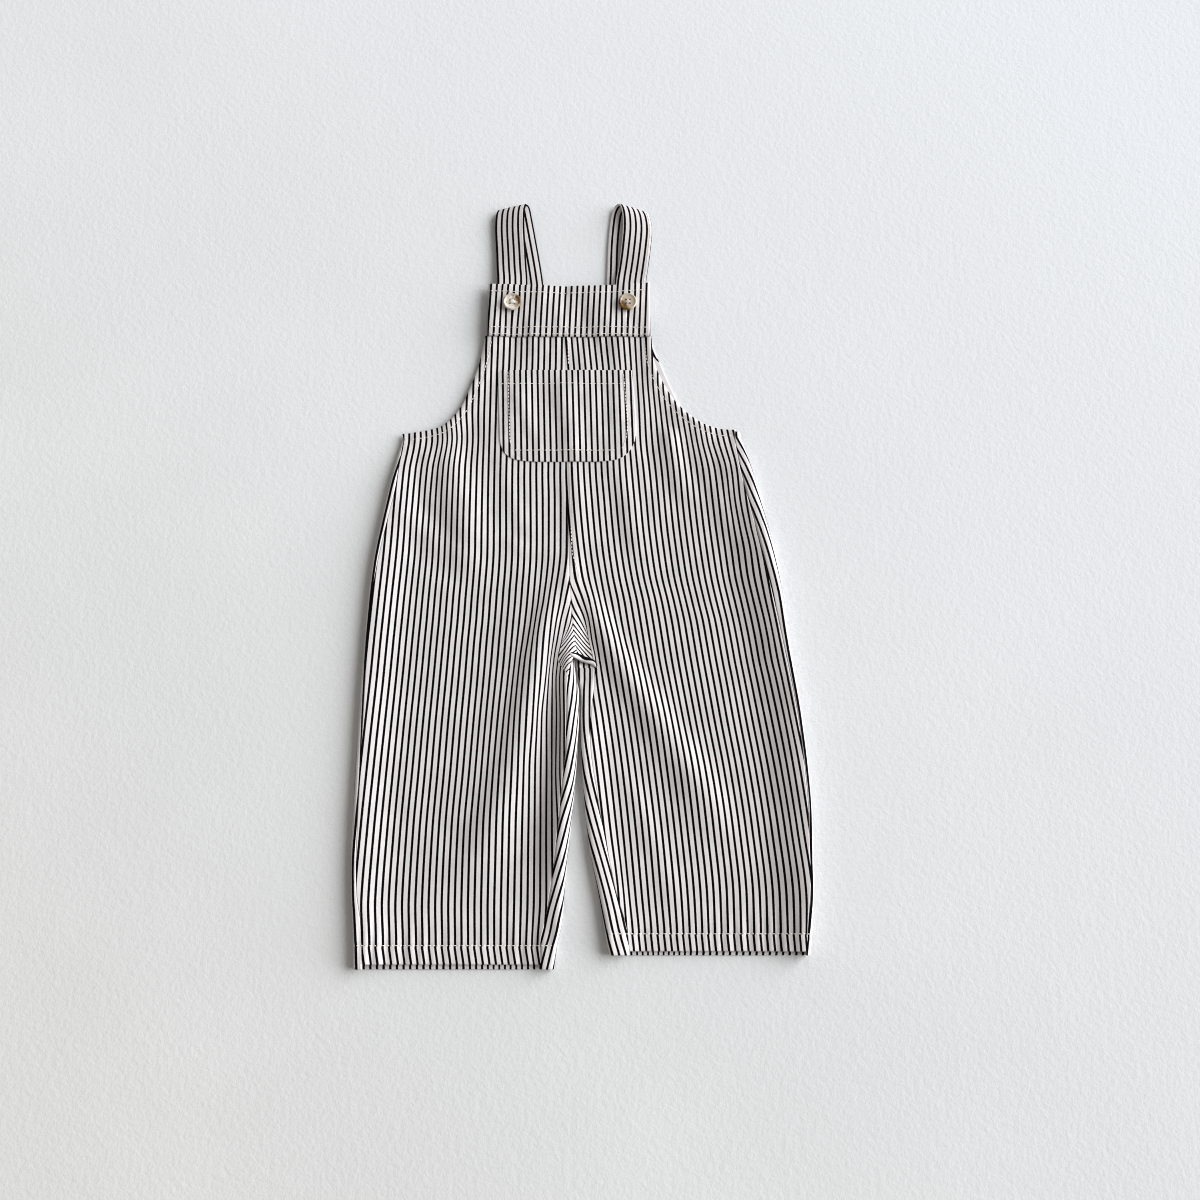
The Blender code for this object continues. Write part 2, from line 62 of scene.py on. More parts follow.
# How high the middle of the front's wall lies above the table
FLAT = 3.2
FOLD_TOP = 6.2
FOLD_ROLL = 2.2
SIDE_SLOPES = (30.0, 36.0)  # from the left and right side folds
INNER_SLOPES = (20.0, 20.0)
SIDE_FOLDS_END = (55.0, 95.0)  # heights between which the side folds flatten
INNER_FOLDS_END = (-140.0, -78.0)
SEAM_RISE = 50.0  # from here up the side seam moves out onto the fold
HEM_LIFT = 0.7
STRAP_LIFT = 3.2
STRAP_SLOPE = 20.0
STRAP_SAG = 0.1
HOLLOW = (-1.0, -84.5)  # under the edge of cloth at the crotch
HOLLOW_SIZE = (5.5, 7.5)
HOLLOW_DEPTH = 3.8
BETWEEN_LEGS = -4.0

BAND_SEAM = 167.8
BACK_TOP = 196.0
ARM_HEM = 5.4
FACING = 7.0  # a strip cut along a white stripe is turned round the back's armhole
FACING_STRIPE = 1.5
HEM_LEFT = (-276.6, -264.8, -279.6)  # front edge, stitch line, back edge
HEM_RIGHT = (-268.4, -257.4, -270.9)
HEM_INSIDE = 1.0  # a leg hem's raw edge lies this far above its stitch line

SIDE_LEFT = (  # y, fold x, side seam x
    (-280.0, -147.0, -141.0),
    (-262.0, -148.0, -141.6),
    (-230.0, -151.0, -147.0),
    (-200.0, -152.4, -148.6),
    (-100.0, -151.6, -148.4),
    (-40.0, -149.8, -147.2),
    (-10.0, -147.9, -144.3),
    (30.0, -142.2, -137.4),
    (50.0, -138.6, -133.6),
    (78.0, -133.0, -130.8),
    (86.0, -131.2, -129.6),
)
SIDE_RIGHT = (
    (-272.0, 147.4, 144.5),
    (-257.0, 149.4, 145.8),
    (-217.0, 152.4, 149.4),
    (-180.0, 152.9, 149.6),
    (-150.0, 151.8, 148.4),
    (-115.0, 149.0, 145.2),
    (-60.0, 142.2, 136.6),
    (-10.0, 136.9, 127.6),
    (32.0, 128.6, 118.6),
    (66.0, 120.4, 111.6),
    (88.0, 113.6, 109.0),
)
INNER_LEFT = (  # y, fold x, inseam x
    (-280.0, -17.6, -26.0),
    (-264.0, -15.8, -26.6),
    (-252.0, -13.0, -24.2),
    (-220.0, -10.4, -19.2),
    (-190.0, -7.4, -15.8),
    (-165.0, -5.0, -13.6),
    (-140.0, -3.3, -11.3),
    (-116.0, -2.2, -10.8),
    (-100.0, -2.1, -10.7),
    (-90.0, -4.1, -9.9),
    (-80.0, -5.6, -8.3),
    (-79.2, -5.7, -8.1),
    (-75.0, -5.9, -6.5),
    (-71.0, -4.2, -4.2),
)
INNER_RIGHT = (
    (-272.0, 17.8, 31.0),
    (-257.0, 15.2, 29.6),
    (-230.0, 10.4, 22.0),
    (-200.0, 4.5, 15.8),
    (-170.0, 1.2, 10.2),
    (-130.0, -1.2, 5.2),
    (-111.0, -1.3, 5.9),
    (-97.0, -1.5, 7.6),
    (-90.0, -2.7, 8.4),
    (-84.0, -3.7, 9.0),
    (-80.0, -4.3, 9.4),
    (-79.2, -4.3, 1.2),
    (-75.0, -4.4, -1.6),
    (-71.0, -4.2, -4.2),
)
CROTCH = -71.0
WRAP_TOP = -80.0
CROTCH_TURN = (-111.0, -36.0)
SIDE_TOP_LEFT = 85.0
SIDE_TOP_RIGHT = 88.0
BACK_SIDE_TOP_RIGHT = 92.6  # the back's turned edge stands up beside the seam
CENTRE_FRONT = (
    (-71.0, -4.2),
    (-45.0, -7.6),
    (-20.0, -9.2),
    (60.0, -12.0),
    (168.0, -14.0),
)
CENTRE_BACK = (
    (-77.0, -2.0),
    (-71.0, -3.0),
    (0.0, -9.0),
    (196.0, -7.0),
)
ARMHOLE_LEFT = (  # x, y along the outer edge of the front's hem
    (-131.0, 91.0),
    (-113.0, 94.0),
    (-100.0, 99.0),
    (-89.5, 112.0),
    (-83.5, 126.5),
    (-77.5, 144.5),
    (-72.8, BAND_SEAM),
)
ARMHOLE_RIGHT = (
    (110.4, 94.2),
    (98.0, 95.4),
    (85.0, 100.2),
    (72.0, 110.8),
    (62.0, 124.0),
    (52.6, 145.2),
    (49.8, BAND_SEAM),
)
BACK_ARMHOLE_LEFT = (
    (-129.0, SIDE_TOP_LEFT + 1.5),
    (-112.0, 90.5),
    (-98.0, 96.0),
    (-87.0, 109.0),
    (-80.0, 127.0),
    (-71.0, 158.0),
    (-58.0, BACK_TOP),
)
BACK_ARMHOLE_RIGHT = (
    (112.0, BACK_SIDE_TOP_RIGHT + 0.6),
    (97.0, 94.4),
    (83.0, 99.8),
    (72.5, 111.0),
    (66.7, 122.2),
    (61.1, 136.0),
    (56.1, 148.6),
    (52.2, 158.6),
    (48.6, 172.0),
    (44.0, BACK_TOP),
)
BAND = (  # x, lower edge y, upper edge y
    (-71.4, 167.3, 210.2),
    (-40.0, 167.2, 208.9),
    (-12.0, 167.1, 208.4),
    (16.0, 167.1, 208.9),
    (49.4, 167.3, 211.3),
)
BAND_STITCH = 6.2  # from the upper edge to the stitches below it
BAND_LOW_STITCHES = (174.3, 169.0)
BAND_LIFT = 0.75  # from the middle of the front's wall to the middle of the band's outer layer
BAND_DEPTH = 1.5  # between the middles of the band's two layers
BAND_FIRST_STRIPE = -69.3
BAND_PITCH = 4.29
BAND_LEAN = ((168.0, -1.6), (173.0, -1.4), (189.0, -0.75), (206.0, 0.0), (212.0, 0.3))  # y, stripes' shift
POCKET = (  # y, left edge x, right edge x
    (69.4, -34.0, 10.0),
    (70.4, -46.0, 21.0),
    (73.0, -53.5, 28.0),
    (78.0, -58.2, 33.4),
    (86.0, -60.6, 37.0),
    (97.0, -61.2, 38.2),
    (118.0, -62.2, 37.0),
    (141.0, -63.2, 35.2),
)
POCKET_SLACK = 0.4
POCKET_LIFT = 1.2
POCKET_EDGE_LIFT = 0.65
POCKET_EDGE = 8.0  # how far inside its edges the pocket has risen
POCKET_HEM = (1.5, 11.5)  # how far below its mouth the cloth turned in starts and ends
POCKET_SEAMS = (7.5, 6.5)  # stitches, from the left and right edges
POCKET_HEM_SEAM = ((-61.0, 130.0), (35.5, 130.0))
POCKET_LOW_SEAM = ((-50.0, 78.0), (25.0, 78.0))
POCKET_FIRST_STRIPE = -45.7
POCKET_PITCH = 4.24
STRAP_WIDTH = 22.6
STRAP_PITCH = 4.22
STRAP_CROWN = 0.175
STRAP_COLUMNS = 17
STRAP_LEFT = (  # x, y, height, and how the strip's cross line runs up the table and up from it to the right
    (-53.6, 183.0, 4.6, 0.00, 0.00),
    (-53.7, 213.0, 4.6, 0.00, 0.00),
    (-54.4, 224.0, 4.9, 0.02, 0.08),
    (-55.2, 238.0, 4.9, 0.04, 0.13),
    (-56.4, 256.0, 5.0, 0.08, 0.14),
    (-56.4, 268.5, 5.0, 0.16, 0.12),
    (-55.6, 274.4, 4.4, 0.22, 0.08),
    (-54.4, 275.8, 3.6, 0.22, 0.04),
    (-52.8, 274.2, 2.4, 0.20, 0.00),
    (-51.2, 267.0, 1.25, 0.14, 0.00),
    (-47.4, 246.0, 1.15, 0.08, 0.00),
    (-43.6, 224.0, 1.15, 0.04, 0.00),
    (-41.6, 209.0, 1.25, 0.02, 0.00),
    (-40.8, 198.6, 2.3, 0.00, 0.00),
    (-40.0, 181.0, 2.3, 0.00, 0.00),
)
STRAP_RIGHT = (
    (32.2, 183.0, 4.6, 0.00, 0.00),
    (35.2, 213.0, 4.6, -0.02, 0.00),
    (36.8, 224.0, 4.8, -0.03, 0.08),
    (38.6, 238.0, 4.7, -0.05, 0.06),
    (40.2, 256.0, 4.6, -0.12, -0.06),
    (39.6, 267.5, 4.7, -0.22, -0.13),
    (37.8, 273.8, 4.3, -0.28, -0.12),
    (35.6, 275.3, 3.5, -0.30, -0.06),
    (33.4, 273.8, 2.4, -0.26, 0.00),
    (31.2, 267.0, 1.25, -0.16, 0.00),
    (29.2, 246.0, 1.15, -0.05, 0.00),
    (28.4, 224.0, 1.15, 0.00, 0.00),
    (27.8, 209.0, 1.25, 0.00, 0.00),
    (27.4, 198.6, 2.3, 0.00, 0.00),
    (26.8, 181.0, 2.3, 0.00, 0.00),
)
# Each strap's route, and where its first black stripe runs on its outer and inner side
STRAPS = {"left": (STRAP_LEFT, 1.0, 22.1), "right": (STRAP_RIGHT, 1.7, 3.0)}
STRAP_ENDS = ((-66.5, -28.5), (14.5, 48.0))
BUTTONS = {"button_left": (-53.2, 193.7), "button_right": (32.5, 193.7)}
SLITS = {"button_left": (188.0, 196.0), "button_right": (181.6, 196.0)}
SLIT_HALF = 0.45
BUTTON_PROFILE = (  # distance from the middle, height
    (0.0, 0.0),
    (4.6, 0.0),
    (5.6, 0.15),
    (6.3, 0.6),
    (6.7, 1.1),
    (6.8, 1.6),
    (6.65, 2.05),
    (6.3, 2.4),
    (5.9, 2.55),
    (5.5, 2.5),
    (5.1, 2.28),
    (4.6, 2.08),
    (4.0, 1.98),
    (2.6, 1.85),
    (0.0, 1.8),
)
BUTTON_HOLE = 0.8  # radius
BUTTON_HOLES_AT = 1.45
THREADS_AT = 1.6
THREAD_RADIUS = {"button_left": 0.42, "button_right": 0.2}

# Soft folds and creases of the front: height, half width to the left of the line and to its right (at its
# start and at its end), and the x and y of points along the line
LEFT_RIDGE = (
    (-11.0, 6.0), (-16.0, -22.0), (-27.0, -52.0), (-36.0, -97.0),
    (-45.0, -143.0), (-57.5, -182.0), (-71.0, -211.0), (-79.0, -242.0),
)
CREASES = (
    # from the crotch down the left leg: the ridge, and the wide slope up to it
    (2.8, (12.0, 22.0), (14.0, 30.0), LEFT_RIDGE),
    (2.5, (34.0, 54.0), (14.0, 30.0), LEFT_RIDGE),
    # along the inner edge of the left leg
    (5.6, (13.0, 22.0), (12.0, 10.0), (
        (-11.0, -26.0), (-10.0, -60.0), (-9.5, -100.0), (-9.8, -150.0), (-14.0, -196.0), (-18.0, -250.0),
    )),
    # from the crotch across the right leg
    (3.3, (8.0, 26.0), (12.0, 20.0), (
        (-4.0, -8.0), (3.0, -31.0), (20.5, -70.0), (43.0, -106.0), (59.0, -132.0), (76.0, -159.0),
        (89.0, -186.0), (98.0, -214.0),
    )),
    (0.8, (10.0, 12.0), (9.0, 11.0), (
        (22.0, -136.0), (31.0, -159.0), (42.0, -185.0), (52.0, -211.0), (60.0, -238.0), (64.0, -256.0),
    )),
    # along the centre seam, down to the crotch
    (1.3, (14.0, 9.0), (17.0, 8.0), (
        (-7.0, 84.0), (-6.0, 40.0), (-6.5, 9.0), (-8.5, -22.0), (-6.0, -50.0), (-3.0, -76.0),
    )),
    # side folds stand up a little more
    (1.0, (12.0, 12.0), (24.0, 24.0), (
        (-127.0, 110.0), (-142.0, 20.0), (-149.0, -75.0), (-149.0, -215.0), (-143.0, -340.0),
    )),
    (3.7, (38.0, 27.0), (6.0, 6.0), (
        (108.0, 120.0), (120.0, 50.0), (132.0, -8.0), (147.5, -97.0), (151.0, -215.0), (146.0, -340.0),
    )),
    # armhole hems
    (1.1, (5.0, 5.0), (12.0, 14.0), (
        (-67.0, 182.0), (-69.0, 168.0), (-74.5, 144.0), (-80.5, 126.0), (-86.5, 111.0), (-98.0, 97.0),
        (-116.0, 88.0),
    )),
    (1.1, (13.0, 16.0), (5.0, 5.0), (
        (45.0, 182.0), (46.5, 168.0), (50.0, 144.0), (59.0, 124.0), (69.0, 109.5), (84.0, 97.0),
        (106.0, 88.0),
    )),
    # left hip
    (1.0, (12.0, 12.0), (12.0, 12.0), ((-133.0, 40.0), (-117.0, 22.0), (-93.0, 2.0), (-62.0, -16.0))),
    (-0.4, (9.0, 9.0), (9.0, 9.0), ((-128.0, 8.0), (-104.0, -10.0), (-74.0, -30.0))),
    (0.8, (9.0, 9.0), (8.0, 8.0), ((-74.0, -36.0), (-52.0, -26.0), (-32.0, -18.0), (-12.0, -6.0))),
    (0.8, (8.0, 8.0), (8.0, 8.0), ((-60.0, 16.0), (-44.0, 4.0), (-26.0, 2.0), (-14.0, 6.0))),
    (2.5, (20.0, 24.0), (15.0, 24.0), (
        (-98.0, 96.0), (-96.0, 74.0), (-92.0, 52.0), (-87.0, 36.0), (-79.0, 12.0), (-68.0, -8.0),
    )),
    (0.6, (8.0, 10.0), (9.0, 12.0), (
        (-62.0, 94.0), (-60.0, 66.0), (-53.0, 44.0), (-44.0, 24.0), (-34.0, 8.0),
    )),
    (0.8, (8.0, 8.0), (8.0, 8.0), ((-110.0, 84.0), (-112.0, 58.0), (-108.0, 30.0))),
    # right hip
    (1.6, (10.0, 13.0), (10.0, 12.0), ((60.0, 100.0), (65.0, 74.0), (70.0, 50.0), (72.0, 36.0))),
    (0.7, (9.0, 12.0), (9.0, 10.0), ((78.0, 90.0), (88.0, 60.0), (99.0, 30.0), (106.0, 4.0))),
    (-0.6, (8.0, 8.0), (8.0, 8.0), ((44.0, 86.0), (50.0, 64.0), (54.0, 44.0))),
    (1.3, (11.0, 11.0), (15.0, 16.0), (
        (20.0, 78.0), (26.0, 58.0), (31.0, 38.0), (36.0, 12.0), (38.0, -12.0),
    )),
    # under the pocket
    (1.6, (12.0, 10.0), (15.0, 12.0), ((-13.0, 144.0), (-14.0, 118.0), (-11.0, 96.0), (-10.0, 66.0))),
    (0.8, (9.0, 9.0), (12.0, 12.0), ((6.0, 128.0), (5.0, 108.0), (10.0, 84.0))),
    (0.8, (8.0, 8.0), (9.0, 9.0), ((-50.0, 128.0), (-42.0, 106.0), (-36.0, 84.0))),
    (0.7, (8.0, 8.0), (8.0, 8.0), ((20.0, 134.0), (26.0, 112.0), (22.0, 92.0))),
)
# How the cloth puckers along its seams and stitch lines: height, length of a ripple
PUCKER = 0.3
RIPPLE = 8.6

# Where the black stripes of the front run: x of the stripes of these numbers at each height
GRAIN_LEFT_NUMBERS = (30, 25, 20, 15, 10, 7, 5, 3, 2, 1, 0, -2)  # counted outwards from the centre seam
GRAIN_LEFT = (
    (-280, -141.0, -119.6, -98.4, -77.4, -56.4, -44.0, -35.6, -28.2, -24.0, -19.9, -15.7, -7.1),
    (-264, -141.3, -120.0, -98.7, -77.7, -56.6, -44.2, -35.8, -28.4, -24.0, -19.8, -15.6, -7.0),
    (-236, -143.5, -121.8, -100.1, -78.7, -57.2, -44.2, -35.4, -27.1, -23.0, -18.9, -14.8, -6.2),
    (-191, -142.0, -120.6, -99.2, -78.1, -56.7, -44.1, -35.6, -27.4, -23.5, -19.6, -15.6, -8.4),
    (-152, -140.0, -118.5, -97.1, -75.8, -55.5, -43.0, -35.5, -28.0, -23.8, -20.1, -17.5, -11.9),
    (-118, -138.0, -116.7, -95.4, -73.9, -53.4, -42.3, -33.6, -27.8, -24.4, -20.5, -17.3, -12.3),
    (-90, -136.3, -115.0, -93.7, -72.1, -51.1, -40.7, -32.4, -25.2, -23.4, -20.6, -18.0, -12.9),
    (-76, -135.6, -114.2, -92.9, -71.4, -49.9, -39.5, -31.9, -23.9, -22.0, -19.7, -16.6, -12.0),
    (-62, -134.9, -113.5, -92.1, -70.7, -49.0, -37.5, -31.2, -22.8, -20.1, -17.5, -13.9, -9.0),
    (-48, -134.1, -112.7, -91.2, -69.7, -48.1, -35.7, -29.5, -21.6, -18.1, -15.3, -11.2, -2.6),
    (-34, -133.3, -112.0, -90.6, -69.1, -47.2, -34.5, -27.3, -20.0, -15.6, -12.2, -7.9, 0.7),
    (3, -131.1, -110.0, -89.0, -67.4, -45.6, -32.7, -24.3, -15.9, -11.6, -6.6, -2.0, 6.6),
    (40, -129.6, -109.2, -89.1, -68.0, -46.3, -33.3, -24.6, -16.1, -11.6, -7.3, -3.0, 5.6),
    (63, -128.4, -108.0, -89.1, -68.1, -46.7, -33.8, -25.2, -16.6, -12.4, -8.1, -3.8, 4.8),
    (86, -125.9, -105.1, -88.0, -68.0, -46.7, -33.8, -25.2, -16.6, -12.4, -8.1, -3.8, 4.8),
    (109, -128.0, -108.0, -89.5, -68.0, -46.6, -33.7, -25.1, -16.5, -12.3, -8.0, -3.7, 4.9),
    (133, -130.0, -109.5, -88.8, -68.0, -46.4, -33.6, -25.0, -16.4, -12.1, -7.8, -3.5, 5.1),
    (168, -131.0, -110.0, -89.0, -67.4, -45.9, -33.4, -24.7, -16.2, -12.0, -7.7, -3.4, 5.2),
)
GRAIN_RIGHT_NUMBERS = (-2, -1, 0, 3, 5, 8, 12, 15, 20, 25, 28, 30)
GRAIN_RIGHT = (
    (-272, 25.4, 29.6, 33.8, 45.8, 54.3, 66.5, 82.6, 95.1, 116.2, 137.4, 148.0, 156.0),
    (-257, 24.9, 29.1, 33.2, 45.3, 53.8, 66.1, 82.4, 95.0, 116.3, 137.6, 148.6, 156.6),
    (-236, 24.2, 27.7, 31.2, 43.7, 52.2, 65.2, 82.1, 95.0, 116.5, 137.9, 150.0, 158.2),
    (-191, 18.8, 22.9, 27.0, 40.0, 48.6, 61.4, 78.5, 91.6, 113.0, 134.3, 145.9, 154.0),
    (-152, 14.1, 18.5, 22.8, 35.7, 44.2, 57.1, 74.2, 86.9, 108.1, 129.5, 141.4, 149.5),
    (-118, 9.6, 13.9, 18.2, 31.2, 39.7, 52.5, 68.5, 81.1, 102.6, 124.1, 136.7, 144.0),
    (-90, 6.4, 9.8, 13.8, 26.7, 35.4, 47.1, 63.6, 76.6, 98.4, 119.4, 132.0, 139.7),
    (-76, 6.9, 8.9, 11.6, 24.5, 32.7, 44.2, 61.3, 74.4, 96.1, 117.0, 129.3, 137.4),
    (-62, 3.9, 6.3, 9.4, 22.0, 29.3, 42.0, 59.3, 72.4, 94.0, 115.0, 127.5, 135.1),
    (-48, 1.5, 4.3, 7.1, 18.7, 26.7, 39.9, 57.3, 70.4, 91.8, 112.7, 125.3, 132.9),
    (-34, -4.1, 0.2, 4.4, 15.6, 24.5, 37.7, 54.9, 67.6, 88.7, 110.1, 122.5, 130.6),
    (-16, -10.9, -5.6, -0.5, 12.4, 20.9, 34.0, 50.9, 63.8, 85.3, 106.6, 119.3, 128.1),
    (3, -11.9, -7.6, -3.3, 9.5, 18.2, 31.2, 48.3, 61.3, 82.8, 104.5, 117.4, 125.0),
    (21, -13.9, -9.6, -5.3, 7.7, 16.4, 29.4, 46.4, 59.3, 80.9, 102.4, 114.2, 121.5),
    (40, -15.5, -11.2, -6.9, 6.1, 14.9, 27.8, 45.0, 57.8, 79.2, 100.6, 111.3, 119.6),
    (63, -16.8, -12.5, -8.2, 4.5, 13.1, 26.1, 43.1, 56.2, 77.3, 98.4, 109.6, 118.2),
    (86, -17.5, -13.2, -8.9, 3.8, 12.4, 25.3, 41.0, 53.9, 74.6, 93.0, 105.4, 113.9),
    (109, -18.3, -14.0, -9.7, 3.0, 11.5, 24.4, 40.4, 52.2, 71.1, 90.0, 101.6, 109.5),
    (133, -19.3, -15.0, -10.7, 2.0, 10.5, 23.5, 39.3, 50.5, 68.5, 88.0, 99.6, 107.5),
    (168, -22.0, -17.7, -13.4, -1.0, 7.4, 20.4, 37.6, 50.0, 71.0, 92.0, 105.0, 113.5),
)
# Stripes that meet in points on the crotch seam: number, y on the seam, y where they end beside it, and how
# straight they run (1, or less for one that hooks downwards)
POINTS_LEFT = (
    (-1, -44.5, -63.0, 1.0),
    (-2, -51.0, -65.0, 1.0),
    (-3, -55.5, -68.0, 0.9),
    (-4, -59.5, -74.0, 0.7),
    (-5, -63.5, -83.0, 0.5),
    (-6, -67.0, -91.0, 0.45),
    (-7, -70.5, -99.0, 0.45),
    (-8, -74.5, -106.0, 0.45),
    (-9, -79.0, -113.0, 0.45),
    (-10, -84.0, -120.0, 0.45),
    (-11, -89.5, -128.0, 0.45),
)
POINTS_RIGHT = (
    (-3, -34.5, -57.0, 1.0),
    (-4, -44.5, -61.5, 1.0),
    (-5, -51.0, -65.0, 1.0),
    (-6, -55.5, -69.0, 1.0),
    (-7, -59.5, -73.0, 1.0),
    (-8, -63.5, -77.0, 1.0),
    (-9, -67.0, -81.0, 1.0),
    (-10, -70.5, -85.0, 1.0),
    (-11, -75.0, -90.0, 1.0),
)
# Where one black stripe runs beside the side folds: distance round the fold, inwards on top
SIDE_GRAIN_LEFT = (
    (-280, 0.3),
    (-248, -0.2),
    (-222, -0.6),
    (-190, 0.5),
    (-160, 1.5),
    (-132, 1.1),
    (-105, 0.6),
    (-62, 0.0),
    (90, 0.1),
)
SIDE_GRAIN_RIGHT = (
    (-272, 1.6),
    (-250, 1.5),
    (-236, 0.9),
    (-212, 1.5),
    (-172, 0.8),
    (-152, 0.9),
    (-97, 1.4),
    (-69, 1.7),
    (-41, 2.1),
    (-12, 4.2),
    (18, 6.3),
    (48, 9.6),
    (88, 12.5),
)
# Where one black stripe runs on the cloth that wraps the inner folds: y, x, pitch
INNER_GRAIN_LEFT = (
    (-280, -31.2, 4.15),
    (-258, -26.0, 4.15),
    (-236, -20.7, 4.1),
    (-190, -9.7, 4.1),
    (-150, 1.5, 4.0),
    (-125, 4.9, 3.6),
    (-101, 9.0, 3.6),
    (-80, 11.2, 3.6),
)
INNER_GRAIN_RIGHT = (
    (-272, 38.4, 4.25),
    (-258, 34.5, 4.25),
    (-220, 23.7, 3.9),
    (-182, 13.0, 4.1),
    (-150, 5.3, 4.2),
    (-117, 0.9, 4.0),
    (-84, 0.2, 3.8),
)

# The folded edge of cloth across the top of the legs, and its section: distance down the table, height
LIP = ((-8.2, -72.2), (-6.9, -73.2), (-3.2, -74.3), (0.8, -75.8), (4.5, -77.0), (7.6, -78.4), (9.0, -80.6))
LIP_ACROSS = (-2.5, -1.9, -1.2, -0.5, 0.2, 0.8, 1.3, 1.6, 1.6, 1.3, 0.7)
LIP_RISE = (-0.1, 0.25, 0.6, 0.85, 0.95, 0.9, 0.65, 0.25, -0.2, -0.5, -0.6)
LIP_FOOT = -80.2

# Rows and columns of the cloth grids
CELL = 1.6
FRONT_COLUMNS = 96
BOTTOM_COLUMNS = 60
ARM_STEPS = 58
CROTCH_ROWS = (-79.2, -77.8, -76.4, -75.0, -73.7, -72.4, CROTCH)
BACK_CROTCH_ROWS = (WRAP_TOP, -79.2, -77.0, -74.0)
FOLD_STEPS = 9  # on the upper half of an edge fold, and on the lower half
UNDER_STEPS = 7
TONGUE = 7.5
ROLL_EXTRA = 1.35  # about how much longer the way over an inner fold is than its width

CAMERA = (11.9, -246.9, 812.1)
TILT = 14.8  # degrees from straight down
SUN_ELEVATION = 21
SUN_AZIMUTH = 14
FLOOR_SIZE = 1600.0

Half = namedtuple(
    "Half",
    "name toward side inner side_top back_side_top hem hem_slip armhole back_armhole grain grain_numbers "
    "points gusset_foot side_grain inner_grain",
)
LEFT = Half(
    name="left",
    toward=1,  # the sign of inwards
    side=SIDE_LEFT,
    inner=INNER_LEFT,
    side_top=SIDE_TOP_LEFT,
    back_side_top=SIDE_TOP_LEFT,
    hem=HEM_LEFT,
    hem_slip=0.16,
    armhole=ARMHOLE_LEFT,
    back_armhole=BACK_ARMHOLE_LEFT,
    grain=GRAIN_LEFT,
    grain_numbers=GRAIN_LEFT_NUMBERS,
    points=POINTS_LEFT,
    gusset_foot=-89.0,
    side_grain=SIDE_GRAIN_LEFT,
    inner_grain=INNER_GRAIN_LEFT,
)
RIGHT = Half(
    name="right",
    toward=-1,
    side=SIDE_RIGHT,
    inner=INNER_RIGHT,
    side_top=SIDE_TOP_RIGHT,
    back_side_top=BACK_SIDE_TOP_RIGHT,
    hem=HEM_RIGHT,
    hem_slip=0.07,
    armhole=ARMHOLE_RIGHT,
    back_armhole=BACK_ARMHOLE_RIGHT,
    grain=GRAIN_RIGHT,
    grain_numbers=GRAIN_RIGHT_NUMBERS,
    points=POINTS_RIGHT,
    gusset_foot=-80.5,
    side_grain=SIDE_GRAIN_RIGHT,
    inner_grain=INNER_GRAIN_RIGHT,
)
HALVES = (LEFT, RIGHT)


# Curves and tables -------------------------------------------------------------------------------


def smoothstep(value):
    value = np.clip(value, 0.0, 1.0)
    return value * value * (3.0 - 2.0 * value)


def ease(value, start, stop):
    """From 0 at start to 1 at stop."""
    return smoothstep((value - start) / (stop - start))


def read(table, y, column=1):
    """The column's values at the heights y, on a smooth curve through the rows that never overshoots them."""
    ys = np.array([row[0] for row in table], float)
    xs = np.array([row[column] for row in table], float)
    rate = np.diff(xs) / np.diff(ys)
    slope = np.zeros(len(xs))
    slope[0], slope[-1] = rate[0], rate[-1]
    product, total = rate[:-1] * rate[1:], rate[:-1] + rate[1:]
    slope[1:-1] = np.where(product > 0, 2 * product / np.where(total == 0, 1, total), 0)
    y = np.clip(np.asarray(y, float), ys[0], ys[-1])
    i = np.clip(np.searchsorted(ys, y, side="right") - 1, 0, len(ys) - 2)
    step = ys[i + 1] - ys[i]
    t = (y - ys[i]) / step
    bulge = slope[i] * step * (1 - t) - slope[i + 1] * step * t
    return xs[i] + (xs[i + 1] - xs[i]) * t * t * (3 - 2 * t) + bulge * t * (1 - t)


def smooth_line(points, parts):
    """The points of a smooth curve through the given ones, with so many parts between each two."""
    points = np.array(points, float)
    padded = np.vstack([points[0], points, points[-1]])
    line = []
    for i in range(len(points) - 1):
        a, b, c, d = padded[i : i + 4]
        for t in np.arange(parts) / parts:
            bend = (a - 2.5 * b + 2 * c - d / 2) * t**2 + (1.5 * (b - c) + (d - a) / 2) * t**3
            line.append(b + (c - a) * (t / 2) + bend)
    return np.array([*line, points[-1]])


def lengths(line):
    """The distance along a line to each of its points."""
    return np.concatenate([[0.0], np.cumsum(np.linalg.norm(np.diff(line, axis=0), axis=1))])


def at_lengths(line, wanted, reach=None):
    """What the columns of a line hold at the wanted distances along it."""
    reach = lengths(line) if reach is None else reach
    return np.stack([np.interp(wanted, reach, column) for column in line.T], axis=1)


def evenly(line, steps):
    return at_lengths(line, np.linspace(0, lengths(line)[-1], steps + 1))


def unit(vectors):
    return vectors / np.linalg.norm(vectors, axis=1)[:, None]


def inset(path, distance):
    """The path moved sideways, to the right of its own direction if distance is positive."""
    ahead = np.vstack([path[1] - path[0], path[2:] - path[:-2], path[-1] - path[-2]])
    return path + distance * unit(np.stack([ahead[:, 1], -ahead[:, 0]], axis=1))


# Heights -----------------------------------------------------------------------------------------


